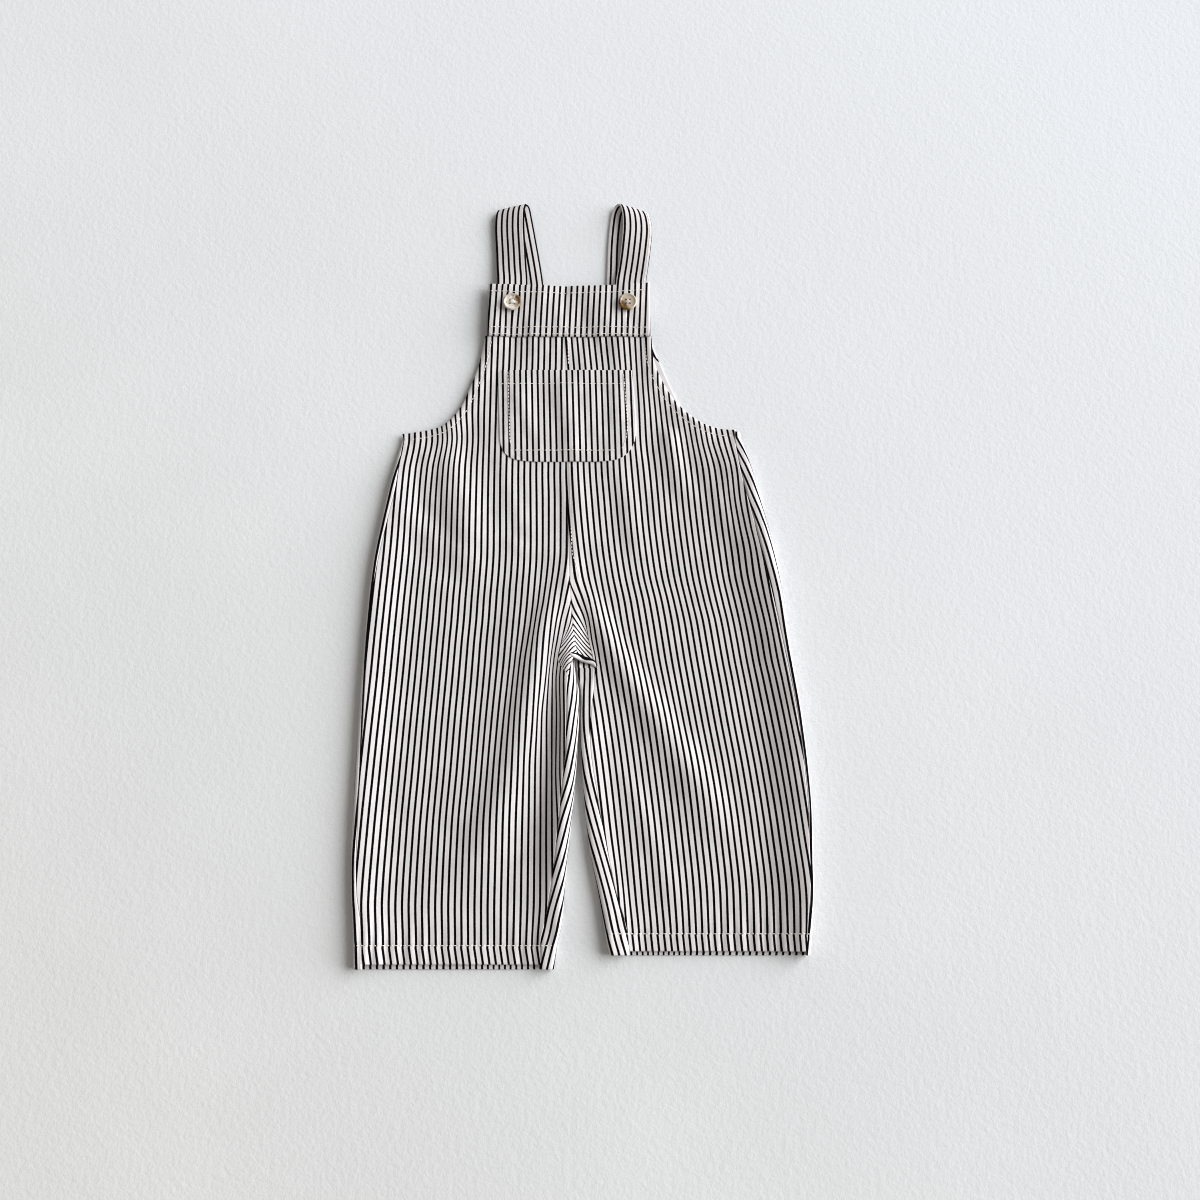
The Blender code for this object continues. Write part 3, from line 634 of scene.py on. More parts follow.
def beside(line, x, y):
    """For points x, y: how far they are from a line, on which side (+1 is the right of its direction), and
    where along it their nearest point is, from 0 to 1."""
    shape = np.broadcast(x, y).shape
    nearest, along, side = np.full(shape, 1e9), np.zeros(shape), np.ones(shape)
    reach = lengths(line)
    for k in range(len(line) - 1):
        start, run = line[k], line[k + 1] - line[k]
        t = np.clip(((x - start[0]) * run[0] + (y - start[1]) * run[1]) / (run @ run), 0, 1)
        off_x, off_y = x - start[0] - run[0] * t, y - start[1] - run[1] * t
        away = np.hypot(off_x, off_y)
        closer = away < nearest
        nearest = np.where(closer, away, nearest)
        along = np.where(closer, (reach[k] + t * (reach[k + 1] - reach[k])) / reach[-1], along)
        side = np.where(closer, np.where(run[1] * off_x - run[0] * off_y >= 0, 1.0, -1.0), side)
    return nearest, side, along


CREASE_LINES = [smooth_line(points, 4) for *_, points in CREASES]


def crease_height(x, y):
    """What the soft folds and creases add to the front's height at x, y. Their lines run downwards."""
    total = np.zeros(np.broadcast(x, y).shape)
    for (height, left_widths, right_widths, _), line in zip(CREASES, CREASE_LINES):
        near, side, along = beside(line, x, y)
        left, right = (start + (stop - start) * along for start, stop in (left_widths, right_widths))
        width = np.where(side > 0, left, right)
        taper = smoothstep(4 * along) * smoothstep(4 * (1 - along))
        total += height * taper * (0.5 + 0.5 * np.cos(np.pi * np.minimum(near / width, 1)))
    return total


def ripples(along, away, reach):
    """Puckers beside a stitch line, uneven in length and depth."""
    phase = 2 * np.pi * along / RIPPLE + 1.1 * np.sin(along / 13.0) + 0.7 * np.sin(along / 5.1 + 1.0)
    size = 0.62 + 0.38 * np.sin(along / 19.0 + 2.0)
    return PUCKER * size * np.sin(phase) * np.exp(-((away / reach) ** 2))


def groove(away, half_width=1.3):
    return np.exp(-((away / half_width) ** 2))


def sewn_height(x, y):
    """Puckers and the shallow grooves that stitching pulls into the front."""
    total = np.zeros(np.broadcast(x, y).shape)
    for half in HALVES:
        here = half.toward * (x - BETWEEN_LEGS) < 0
        above_stitch = y - half.hem[1]
        along_hem = x + (3.0 if half is LEFT else 0.0)
        puckers = ripples(along_hem, above_stitch, np.where(above_stitch > 0, 15.0, 22.0))
        total += np.where(here, 1.5 * puckers - 0.45 * groove(above_stitch), 0.0)
        near, _, along = beside(ARM_STITCHES[half.name][::3], x, y)
        total += 0.8 * ripples(along * 110.0, near, 6.0) - 0.3 * groove(near)
    from_seam = BAND_SEAM - y
    total += ripples(x + 7.0, from_seam, 11.0) * (from_seam > -3.0)
    across = x - read(CENTRE_FRONT, y)
    seam = 0.6 * ripples(y, across, 5.0) - 0.35 * groove(across) - 0.2 * groove(across - 2.2, 0.9)
    return total + smoothstep((y - CROTCH) / 12.0) * seam


def slope_from_fold(distance, reach):
    return 1.0 - smoothstep((distance - FOLD_ROLL) / reach)


def strap_cover(x, y):
    """1 over the strap ends behind the band, sagging a little between them and easing to 0 outside."""
    (left, gap_left), (gap_right, right) = STRAP_ENDS
    outside = np.maximum(np.maximum(left - x, x - right), 0.0)
    between = np.clip((x - gap_left) / (gap_right - gap_left), 0, 1)
    over = 1.0 - smoothstep(outside / STRAP_SLOPE) - STRAP_SAG * np.sin(np.pi * between) ** 2
    return over * ease(y, 150.0, 180.0)


def relief(x, y):
    """Slight unevenness of pressed cotton, stronger on the hips and strongest below the band."""
    wave = np.sin(x / 7.3 + 1.7 * np.sin(y / 31.0)) * np.sin(y / 23.0 + 0.9 * np.sin(x / 17.0))
    wave += 0.6 * np.sin(x / 4.1 + y / 37.0) * np.sin(y / 14.0 - x / 29.0 + 1.0)
    wave += 0.35 * np.sin(x / 2.3 - y / 9.0 + np.sin(y / 7.0)) * np.sin(y / 4.7 + x / 11.0)
    return (0.14 + 0.2 * ease(y, -15.0, 75.0) + 0.24 * ease(y, 135.0, 165.0)) * wave


def front_height(x, y):
    """The height of the middle of the front's wall, before the rounding of the edge folds."""
    x, y = np.broadcast_arrays(np.asarray(x, float), np.asarray(y, float))
    sides, inner = np.zeros(x.shape), np.zeros(x.shape)
    for half, side_reach, inner_reach in zip(HALVES, SIDE_SLOPES, INNER_SLOPES):
        sides += slope_from_fold(half.toward * (x - read(half.side, y)), side_reach)
        away = -half.toward * (x - read(half.inner, y))
        inner = np.maximum(inner, np.where(away > -FOLD_ROLL, slope_from_fold(away, inner_reach), 0.0))
    sides *= 1.0 - ease(y, *SIDE_FOLDS_END)
    inner *= 1.0 - ease(y, *INNER_FOLDS_END)
    height = FLAT + (FOLD_TOP - FLAT) * np.minimum(sides + inner, 1.0)
    stitch = np.where(x < 0, HEM_LEFT[1], HEM_RIGHT[1])
    height += HEM_LIFT * ease(y, stitch + 22.0, stitch + 2.0)
    height += STRAP_LIFT * strap_cover(x, y)
    height += crease_height(x, y) + sewn_height(x, y) + relief(x, y)
    hollow = np.exp(-(((x - HOLLOW[0]) / HOLLOW_SIZE[0]) ** 2) - ((y - HOLLOW[1]) / HOLLOW_SIZE[1]) ** 2)
    height -= HOLLOW_DEPTH * hollow * ease(y, -79.0, -80.5)
    lowest = CAD_WALL * 1.5 + LAY_GAP
    return lowest + 0.5 * (height - lowest + np.hypot(height - lowest, 0.4))


def roll_height(x, y, distance, top):
    """The upper or lower half of a rolled edge: the middle of the wall, distance in from the fold."""
    floor = WALL / 2
    above = front_height(x, y) - floor
    inward = np.clip(distance / FOLD_ROLL, 0.0, 1.0)
    half = 0.5 * np.sqrt(np.maximum(1.0 - (1.0 - inward) ** 2, 0.0))
    return floor + above * (0.5 + half if top else 0.5 - half)


# Stripe numbers ----------------------------------------------------------------------------------


def number_between(knots, numbers, x):
    """The stripe number at x, where the knots are the places of the stripes with these numbers."""
    if knots[0].ravel()[0] > knots[-1].ravel()[0]:
        knots, numbers = knots[::-1], numbers[::-1]
    found = numbers[0] + (x - knots[0]) / PITCH * np.sign(numbers[1] - numbers[0])
    for k in range(len(numbers) - 1):
        share = (x - knots[k]) / (knots[k + 1] - knots[k])
        found = np.where(share > 0, numbers[k] + np.minimum(share, 1) * (numbers[k + 1] - numbers[k]), found)
    last = numbers[-1] + (x - knots[-1]) / PITCH * np.sign(numbers[-1] - numbers[-2])
    return np.where(x > knots[-1], last, found)


def front_grain(x, y, half):
    """Counts the black stripes of the front at x, y: whole on a stripe's centre line."""
    knots = [read(half.grain, y, k + 1) for k in range(len(half.grain_numbers))]
    below = half.hem[1] - y  # where the stripes of the turned hem have slipped sideways
    slip = half.hem_slip * np.maximum(below, 0.0) - 0.5 * smoothstep(below / 0.8) * (below > 0)
    return number_between(knots, half.grain_numbers, x - slip)


def gusset_grain(x, y, half):
    """Stripe numbers beside the crotch seam, where stripes meet in points, and where they hold (above 0)."""
    edge_number = half.points[0][0] + 1
    edge = read(half.grain, y, 1 + half.grain_numbers.index(edge_number))
    seam = front_centre(half, y) if half is LEFT else read(CENTRE_FRONT, y)
    wide = np.where(np.abs(edge - seam) < 0.5, 0.5 * np.sign(edge - seam) + 1e-9, edge - seam)
    share = (x - seam) / wide
    knots = [np.ones(share.shape)]
    for _, on_seam, on_edge, bend in half.points:
        drop = (on_seam - y) / (on_seam - on_edge)
        knots.append(np.where(drop > 0, np.abs(drop) ** bend, drop) + 0 * share)
    for k in range(len(knots) - 1, 0, -1):
        knots[k - 1] = np.maximum(knots[k - 1], knots[k] + 0.02)
    counted = [edge_number] + [row[0] for row in half.points]
    found = counted[-1] + 0.0 * share
    for k in range(len(counted) - 1, 0, -1):
        part = (share - knots[k]) / (knots[k - 1] - knots[k])
        found = np.where(part > 0, counted[k] + np.minimum(part, 1.0), found)
    inside = half.toward * (x - edge)
    if half is LEFT:
        inside = inside - (seam - edge) * ease(y, WRAP_TOP + 4.0, WRAP_TOP - 10.0)
    return found, np.minimum(inside, y - half.gusset_foot)


def side_number(arc, ys, half):
    """Stripe numbers round a side fold, arc counted inwards on top."""
    return (arc - read(half.side_grain, ys)[:, None]) / PITCH


def inner_number(arc, ys, half):
    """Stripe numbers of the cloth that wraps the inner fold, arc counted inwards on top."""
    line, pitch = read(half.inner_grain, ys)[:, None], read(half.inner_grain, ys, 2)[:, None]
    outermost = read(half.inner, ys)[:, None] - half.toward * WALL / 2 + half.toward * ROLL_EXTRA
    start = half.toward * (outermost - line) / pitch
    return np.where(arc > 0, start - arc / pitch, start - arc / PITCH)


# Meshes ------------------------------------------------------------------------------------------


def spread(count):
    """Shares from 0 to 1, closer together at both ends."""
    even = np.linspace(0, 1, count + 1)
    return 0.4 * even + 0.6 * (0.5 - 0.5 * np.cos(np.pi * even))


def grid(x, y, z):
    return np.stack(np.broadcast_arrays(x, y, z), axis=-1)


def link(name, data):
    thing = bpy.data.objects.new(name, data)
    bpy.context.scene.collection.objects.link(thing)
    return thing


def dress(thing, material):
    thing.data.materials.append(MATERIALS[material])
    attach(thing, "root")
    return thing


def cloth(name, patches, wall=WALL):
    """A cloth wall round grids of points, each with its stripe numbers. Points that they share are joined."""
    points, faces, grains, gussets = [], [], [], []
    base = 0
    for patch in patches:
        surface, number = patch["grid"], patch["number"]
        rows, columns = surface.shape[:2]
        index = base + np.arange(rows * columns).reshape(rows, columns)
        quads = np.stack([index[:-1, :-1], index[:-1, 1:], index[1:, 1:], index[1:, :-1]], axis=-1)
        if "holes" in patch:
            quads = quads[~patch["holes"]]
        faces.append(quads.reshape(-1, 4))
        points.append(surface.reshape(-1, 3))
        along = patch.get("along", surface[..., 1]) / PITCH
        grains.append(np.stack([number, along], axis=-1).reshape(-1, 2))
        gusset = patch.get("gusset", (0.0 * along, 0.0 * along - 1.0))
        gussets.append(np.stack(gusset, axis=-1).reshape(-1, 2))
        base += rows * columns
    points, faces = np.concatenate(points), np.concatenate(faces)
    mesh = bpy.data.meshes.new(name)
    mesh.from_pydata((points * MM).tolist(), [], faces.tolist())
    for layer, values in (("grain", grains), ("gusset", gussets)):
        mesh.uv_layers.new(name=layer).data.foreach_set("uv", np.concatenate(values)[faces.ravel()].ravel())
    shape = bmesh.new()
    shape.from_mesh(mesh)
    bmesh.ops.remove_doubles(shape, verts=shape.verts, dist=0.00002)
    bmesh.ops.recalc_face_normals(shape, faces=shape.faces)
    shape.to_mesh(mesh)
    shape.free()
    mesh.shade_smooth()
    thing = link(name, mesh)
    thicken = thing.modifiers.new("wall", "SOLIDIFY")
    thicken.thickness = wall * MM
    thicken.offset = 0.0
    return dress(thing, "striped_cotton")


# The panels --------------------------------------------------------------------------------------


HALF_TURN = np.linspace(0, np.pi, 6)[1:]  # steps round a turned edge


def turned_rows(edge, stitch_line):
    """Rows of a turned hem: heights and how far inside the outer layer they lie, from the raw edge round."""
    centre = edge + WALL / 2 + TURN
    inner = np.linspace(stitch_line + HEM_INSIDE, centre, 7)
    turn = np.pi - HALF_TURN
    ys = np.concatenate([inner, centre - TURN * np.sin(turn)])
    drops = np.concatenate([np.full(len(inner), 2 * TURN), TURN - TURN * np.cos(turn)])
    return ys, drops


def heights_between(low, high):
    return np.linspace(low, high, max(2, int(round((high - low) / CELL)) + 1))


def front_centre(half, y):
    return np.where(y > CROTCH, read(CENTRE_FRONT, y), read(half.inner, y, 2))


def eased_centre(half, y):
    """The front's inner edge without its corner at the crotch."""
    low, high = CROTCH_TURN
    share = ease(y, low, high)
    eased = front_centre(half, np.array(low)) * (1 - share) + front_centre(half, np.array(high)) * share
    return np.where((y > low) & (y < high), eased, front_centre(half, y))


def front_middle(x, y, half):
    """The height of the middle of the front's wall, with the roll beside the side seam."""
    distance = half.toward * (x - read(half.side, y)) - WALL / 2
    return roll_height(x, y, distance + FOLD_ROLL * ease(y, SEAM_RISE, half.side_top), top=True)


def armhole_line(half, distance):
    """The armhole's edge moved in by the distance, in even steps."""
    line = inset(evenly(smooth_line(half.armhole, 8), ARM_STEPS), half.toward * distance)
    line[-1, 1] = BAND_SEAM
    return line


ARM_STITCHES = {half.name: armhole_line(half, ARM_HEM) for half in HALVES}


def front_panel(half):
    hem_ys, hem_drops = turned_rows(half.hem[0], half.hem[1])
    fine_top = half.hem[1] + 8.0  # rows are twice as close up to here
    fine = np.linspace(hem_ys[-1], fine_top, 2 * len(heights_between(hem_ys[-1], fine_top)))
    leg_ys = np.concatenate([fine[1:], heights_between(fine_top, WRAP_TOP)[1:]])
    body_ys = heights_between(CROTCH, half.side_top)[1:]
    rows = np.concatenate([hem_ys, leg_ys, CROTCH_ROWS, body_ys])
    stitches = ARM_STITCHES[half.name]
    ys = np.concatenate([rows, stitches[:, 1]])
    drops = np.zeros(len(ys))
    drops[: len(hem_ys)] = hem_drops
    limit = np.maximum if half is LEFT else np.minimum
    arm_starts = limit(stitches[:, 0], read(half.side, half.side_top, 2))
    starts = np.concatenate([read(half.side, rows, 2), arm_starts])
    centre, eased = front_centre(half, ys), eased_centre(half, ys)
    share = spread(FRONT_COLUMNS)[None, :]
    start = starts[:, None] + half.toward * SEAM
    stop = eased[:, None] - half.toward * SEAM
    x = start + (stop - start) * share + (centre - eased)[:, None] * share**20
    y = ys[:, None] + 0 * x
    main = {
        "grid": grid(x, y, front_middle(x, y, half) - drops[:, None]),
        "number": front_grain(x, y, half),
        "gusset": gusset_grain(x, y, half),
    }
    middle_x, middle_y = (a[:-1, :-1] / 2 + a[1:, 1:] / 2 for a in (x, y))
    lip_x, lip_y = np.array(LIP).T
    under_lip = (middle_y < np.interp(middle_x, lip_x, lip_y) - 0.2) & (middle_y > LIP_FOOT)
    main["holes"] = under_lip & (middle_x > lip_x[1]) & (middle_x < lip_x[-2])
    return cloth("cloth_front_" + half.name, [main, armhole_hem(half, arm_starts)])


def armhole_hem(half, starts):
    """The turned hem along the armhole: out to the edge, round it and back beneath."""
    edge = armhole_line(half, WALL / 2 + TURN)
    start = np.stack([starts + half.toward * SEAM, ARM_STITCHES[half.name][:, 1]], axis=1)
    outward = edge - start
    outward /= np.maximum(np.linalg.norm(outward, axis=1)[:, None], 0.01)
    rows = [(start + (edge - start) * share, 0.0) for share in np.linspace(0, 1, 5)]
    rows += [(edge + outward * TURN * math.sin(turn), TURN - TURN * math.cos(turn)) for turn in HALF_TURN]
    rows += [(start + (edge - start) * share, 2 * TURN) for share in np.linspace(1, 0.06, 5)[1:]]
    x, y = np.moveaxis(np.stack([plan for plan, _ in rows], axis=1), -1, 0)
    drops = np.array([drop for _, drop in rows])
    return {"grid": grid(x, y, front_middle(x, y, half) - drops), "number": front_grain(x, y, half)}


def back_panel(half):
    hem_ys, hem_drops = turned_rows(half.hem[2], half.hem[1])
    leg_ys = np.concatenate([hem_ys, heights_between(hem_ys[-1], WRAP_TOP)[1:]])
    drops = np.zeros(len(leg_ys))
    drops[: len(hem_ys)] = hem_drops
    body_ys = np.concatenate([BACK_CROTCH_ROWS, heights_between(CROTCH, half.back_side_top)])
    leg = leg_section(leg_ys, drops, half)
    patches = [leg, tongue(leg), body_section(body_ys, half), arm_section(half)]
    return cloth("cloth_back_" + half.name, patches)


def tongue(leg):
    """The cloth that wraps the inner fold runs on a little, sinking under the crotch."""
    columns = FOLD_STEPS + UNDER_STEPS + 1
    row, number = leg["grid"][-1, -columns:], leg["number"][-1, -columns:]
    share = np.linspace(0, 1, 7)[:, None]
    x, y, z = (row[None, :, k] + 0 * share for k in range(3))
    sunk = WALL / 2 + (z - WALL / 2) * (1.0 - 0.62 * smoothstep(share * 1.6))
    return {"grid": grid(x, y + TONGUE * share, sunk), "number": number[None, :] + 0 * share}


def over_fold(table, ys, inward):
    """x and z from the seam on top, out over the edge fold and under to where the wall lies flat."""
    edge = read(table, ys) + inward * WALL / 2
    reach = inward * (read(table, ys, 2) - edge) - SEAM
    quarter = np.linspace(0, np.pi / 2, FOLD_STEPS + 1)[:-1]
    on_top = reach[:, None] * (1.0 - np.sin(quarter))[None, :]
    round_under = np.linspace(0, np.pi / 2, UNDER_STEPS + 1)
    beneath = FOLD_ROLL * (1.0 - np.cos(round_under))[None, :] + 0 * ys[:, None]
    x_top = edge[:, None] + inward * on_top
    x_low = edge[:, None] + inward * beneath
    z_top = roll_height(x_top, ys[:, None], on_top, top=True)
    z_low = roll_height(x_low, ys[:, None], beneath, top=False)
    z_low[:, -1] = WALL / 2
    return np.hstack([x_top, x_low]), np.hstack([z_top, z_low])


def arcs(x, z):
    """The distance round a section from the outermost point of its first fold, positive on top."""
    run = np.hypot(np.diff(x, axis=1), np.diff(z, axis=1))
    reach = np.hstack([np.zeros((len(x), 1)), np.cumsum(run, axis=1)])
    return reach[:, FOLD_STEPS : FOLD_STEPS + 1] - reach


def flat_columns(start, stop):
    return start[:, None] + (stop - start)[:, None] * spread(BOTTOM_COLUMNS)[None, :]


def leg_section(ys, drops, half):
    """A leg's back: from the side seam over the side fold, beneath, and over the inner fold to the inseam."""
    fold_x, fold_z = over_fold(half.side, ys, half.toward)
    inner_x, inner_z = over_fold(half.inner, ys, -half.toward)
    arc_in = arcs(inner_x, inner_z)[:, ::-1]
    inner_x, inner_z = inner_x[:, ::-1], inner_z[:, ::-1]
    x_flat = flat_columns(fold_x[:, -1], inner_x[:, 0])[:, 1:-1]
    x = np.hstack([fold_x, x_flat, inner_x])
    z = np.hstack([fold_z, np.full(x_flat.shape, WALL / 2), inner_z])
    from_fold = side_number(arcs(x, z), ys, half)
    reach_in = np.abs(x_flat - inner_x[:, :1])
    arc_inner = np.hstack([np.full(fold_x.shape, -1e3), arc_in[:, :1] - reach_in, arc_in])
    wrapped = inner_number(arc_inner, ys, half)
    # the two counts blend beneath the leg, where they are made to differ by less than a stripe
    wide = np.abs(x - fold_x[:, -1:]) / np.abs(inner_x[:, :1] - fold_x[:, -1:])
    share = smoothstep((wide - 0.55) / 0.4)
    share[:, : fold_x.shape[1]] = 0.0
    column = fold_x.shape[1] + BOTTOM_COLUMNS * 3 // 4
    stripes_apart = round(float((from_fold - wrapped)[len(ys) // 2, column]))
    number = from_fold * (1 - share) + np.where(share > 0, wrapped + stripes_apart, 0) * share
    # the turned hem lies inside the tube
    along_x, along_z = np.gradient(x, axis=1), np.gradient(z, axis=1)
    inwards = half.toward * drops[:, None] / np.maximum(np.hypot(along_x, along_z), 1e-6)
    x = x - inwards * along_z
    z = z + inwards * along_x
    # the last row sinks towards the inseam, under the crotch
    columns = inner_x.shape[1]
    back = np.clip((np.arange(x.shape[1]) - (x.shape[1] - columns)) / (columns - 1), 0, 1)
    y = ys[:, None] - (ys[:, None] >= WRAP_TOP - 0.01) * 1.2 * back[None, :]
    return {"grid": grid(x, y, z), "number": number}


def body_section(ys, half):
    """The back between crotch and armhole. Its first row meets the leg's last one."""
    fold_x, fold_z = over_fold(half.side, ys, half.toward)
    centre = read(CENTRE_BACK, ys) - half.toward * SEAM
    centre[0] = read(half.inner, ys[0]) - half.toward * (WALL / 2 + FOLD_ROLL)
    x_flat = flat_columns(fold_x[:, -1], centre)[:, 1:]
    x = np.hstack([fold_x, x_flat])
    z = np.hstack([fold_z, np.full(x_flat.shape, WALL / 2)])
    return {"grid": grid(x, ys[:, None], z), "number": side_number(arcs(x, z), ys, half)}


def arm_section(half):
    """The back above the side seam, with a facing along its armhole."""
    edge = inset(evenly(smooth_line(half.back_armhole, 8), ARM_STEPS), half.toward * WALL / 2)
    ys, start = edge[:, 1].copy(), edge[:, 0].copy()
    first_fold = read(half.side, half.back_side_top) + half.toward * (WALL / 2 + FOLD_ROLL)
    ys[0], start[0] = half.back_side_top, first_fold
    x = flat_columns(start, read(CENTRE_BACK, ys) - half.toward * SEAM)
    number = side_number(-half.toward * (x - first_fold) - FOLD_ROLL * 1.2, ys, half)
    inwards = half.toward * (x - start[:, None])
    y = ys[:, None]
    facing = 0.5 * ease(y, 154.0, 146.0) + (inwards - FACING_STRIPE) / PITCH * ease(y, 146.0, 152.0)
    return {"grid": grid(x, y, WALL / 2), "number": np.where(inwards < FACING, facing, number)}


def crotch_lip():
    """The edge of cloth that is folded over across the top of the legs."""
    plan = evenly(smooth_line(LIP, 6), 36)
    ahead = np.gradient(plan, axis=0)
    down = unit(np.stack([ahead[:, 1], -ahead[:, 0]], axis=1))
    share = np.linspace(0, 1, len(plan))
    size = 0.35 + 0.65 * np.sin(np.pi * np.clip(share, 0.02, 0.98)) ** 0.6
    across = size[:, None] * np.array(LIP_ACROSS)
    x = plan[:, :1] + down[:, :1] * across
    y = plan[:, 1:] + down[:, 1:] * across
    base = np.array([float(front_height(a, b)) for a, b in plan + down * -1.5])
    z = base[:, None] + 0.55 + 1.15 * size[:, None] * np.array(LIP_RISE)
    number = np.linspace(-0.13, 0.88, len(LIP_ACROSS))[None, :] + 0.10 * np.sin(9.0 * share)[:, None]
    along = PITCH * 20 * share[:, None] + 0 * x
    patch = {"grid": grid(x, y, z), "number": number, "along": along}
    return cloth("cloth_crotch_fold", [patch], wall=LIP_WALL)


# Band, pocket, straps ----------------------------------------------------------------------------


def band_number(x, y):
    """Stripe numbers of the band, pushed aside by the buttons and their holes."""
    moved = np.zeros(np.broadcast(x, y).shape)
    for centre_x, centre_y in BUTTONS.values():
        away = (x - centre_x) / 5.0
        moved += 1.5 * away * np.exp(-away * away) * np.exp(-((y - centre_y + 2.0) / 11.0) ** 2)
    return (x - moved - np.interp(y, *np.transpose(BAND_LEAN)) - BAND_FIRST_STRIPE) / BAND_PITCH


def band():
    """A strip folded at its upper edge, with a buttonhole cut through both layers behind each button."""
    slits = [BUTTONS[name][0] for name in SLITS]
    xs = np.linspace(BAND[0][0] + WALL / 2, BAND[-1][0] - WALL / 2, 76)
    for x in slits:
        near = np.abs(xs - x) < CELL
        xs = np.concatenate([xs[~near], [x - CELL, x - SLIT_HALF, x + SLIT_HALF, x + CELL]])
    xs = np.sort(xs)
    low, high = read(BAND, xs, 1), read(BAND, xs, 2) - WALL / 2 - TURN
    ys = low[None, :] + (high - low)[None, :] * np.linspace(0, 1, 27)[:, None]
    for goal in sorted({y for ends in SLITS.values() for y in ends}):
        ys[np.argmin(np.abs(ys[:, 10] - goal))] = goal
    outer = front_height(xs[None, :], ys) + BAND_LIFT
    inner = outer - BAND_DEPTH
    turn = np.linspace(0, np.pi, 7)[1:-1, None]
    y = np.vstack([ys, high + TURN * np.sin(turn), ys[::-1]])
    z = np.vstack([outer, outer[-1] - BAND_DEPTH / 2 * (1 - np.cos(turn)), inner[::-1]])
    x = np.broadcast_to(xs[None, :], y.shape)
    hidden = np.zeros((len(y) - 1, len(xs) - 1), bool)
    middle_y = (y[:-1, :-1] + y[1:, :-1]) / 2
    for slit, (slit_low, slit_high) in zip(slits, SLITS.values()):
        column = np.argmin(np.abs(xs - (slit - SLIT_HALF)))
        hidden[:, column] |= (middle_y[:, column] > slit_low) & (middle_y[:, column] < slit_high)
    return cloth("cloth_bib_band", [{"grid": grid(x, y, z), "number": band_number(x, y), "holes": hidden}])


def pocket_edges(x, y):
    """How far inside the nearer side edge and above the lower edge of the pocket."""
    return np.minimum(x - read(POCKET, y, 1), read(POCKET, y, 2) - x), y - POCKET[0][0]


def pocket_lift(x, y):
    """How high the pocket's wall lies above the front's, apart from its slack: less beside its edges."""
    near = np.minimum(*pocket_edges(x, y))
    return POCKET_EDGE_LIFT + (POCKET_LIFT - POCKET_EDGE_LIFT) * smoothstep(near / POCKET_EDGE)


def pocket():
    low, high = POCKET[0][0], POCKET[-1][0] - WALL / 2 - TURN
    ys = np.concatenate([np.linspace(low, 72.0, 4), heights_between(73.0, high)])[:, None]
    share = spread(56)[None, :]
    slack = POCKET_SLACK * np.sin(np.pi * share)
    left, right = read(POCKET, ys, 1), read(POCKET, ys, 2)
    x = left + (right - left) * share
    y = ys + 0 * x
    edge, bottom = pocket_edges(x, y)
    z = front_height(x, y) + pocket_lift(x, y) + slack * ease(y, 118.0, 138.0)
    z += 0.7 * ripples(y + 2.0, edge - 6.0, 6.0) + 0.5 * ripples(x, bottom - 8.0, 6.0)
    z -= 0.25 * groove(edge - 7.0)
    turn = HALF_TURN[:, None]
    below = y[-1] - np.linspace(*POCKET_HEM, 6)[:, None]
    below_z = front_height(x[-1], below) + POCKET_LIFT - 2 * TURN + slack * ease(below, 118.0, 138.0)
    z = np.vstack([z, z[-1] - TURN + TURN * np.cos(turn), below_z])
    y = np.vstack([y, y[-1] + TURN * np.sin(turn), below])
    x = np.vstack([x, np.repeat(x[-1:], len(y) - len(x), axis=0)])
    number = (x - POCKET_FIRST_STRIPE - 0.03 * (109.0 - y)) / POCKET_PITCH
    return cloth("cloth_pocket", [{"grid": grid(x, y, z), "number": number}], wall=POCKET_WALL)


def strap_line(route):
    """The strap's middle line, how far along it each point is, and the directions across and up from it."""
    line = smooth_line(route, 10)
    reach = lengths(line[:, :3])
    wanted = np.linspace(0, reach[-1], int(reach[-1] / 1.7))
    middle, lean = np.split(at_lengths(line, wanted, reach), [3], axis=1)
    across = unit(np.hstack([np.ones((len(lean), 1)), lean]))
    up = unit(np.cross(across, np.gradient(middle, axis=0)))
    return middle, wanted, across, up


def strap_stitches(route):
    """Stitches along the strap's right edge, on its outer side."""
    middle, wanted, across, up = strap_line(route)
    row = middle + (STRAP_WIDTH / 2 - 1.7) * across + (TURN + WALL / 2) * up
    found = []
    for start in np.arange(20.0, wanted[-1] / 2, 2.6):
        a, b = at_lengths(row, np.array([start, start + 1.9]))
        found.append((a, b, up[np.searchsorted(wanted, start)]))
    return found


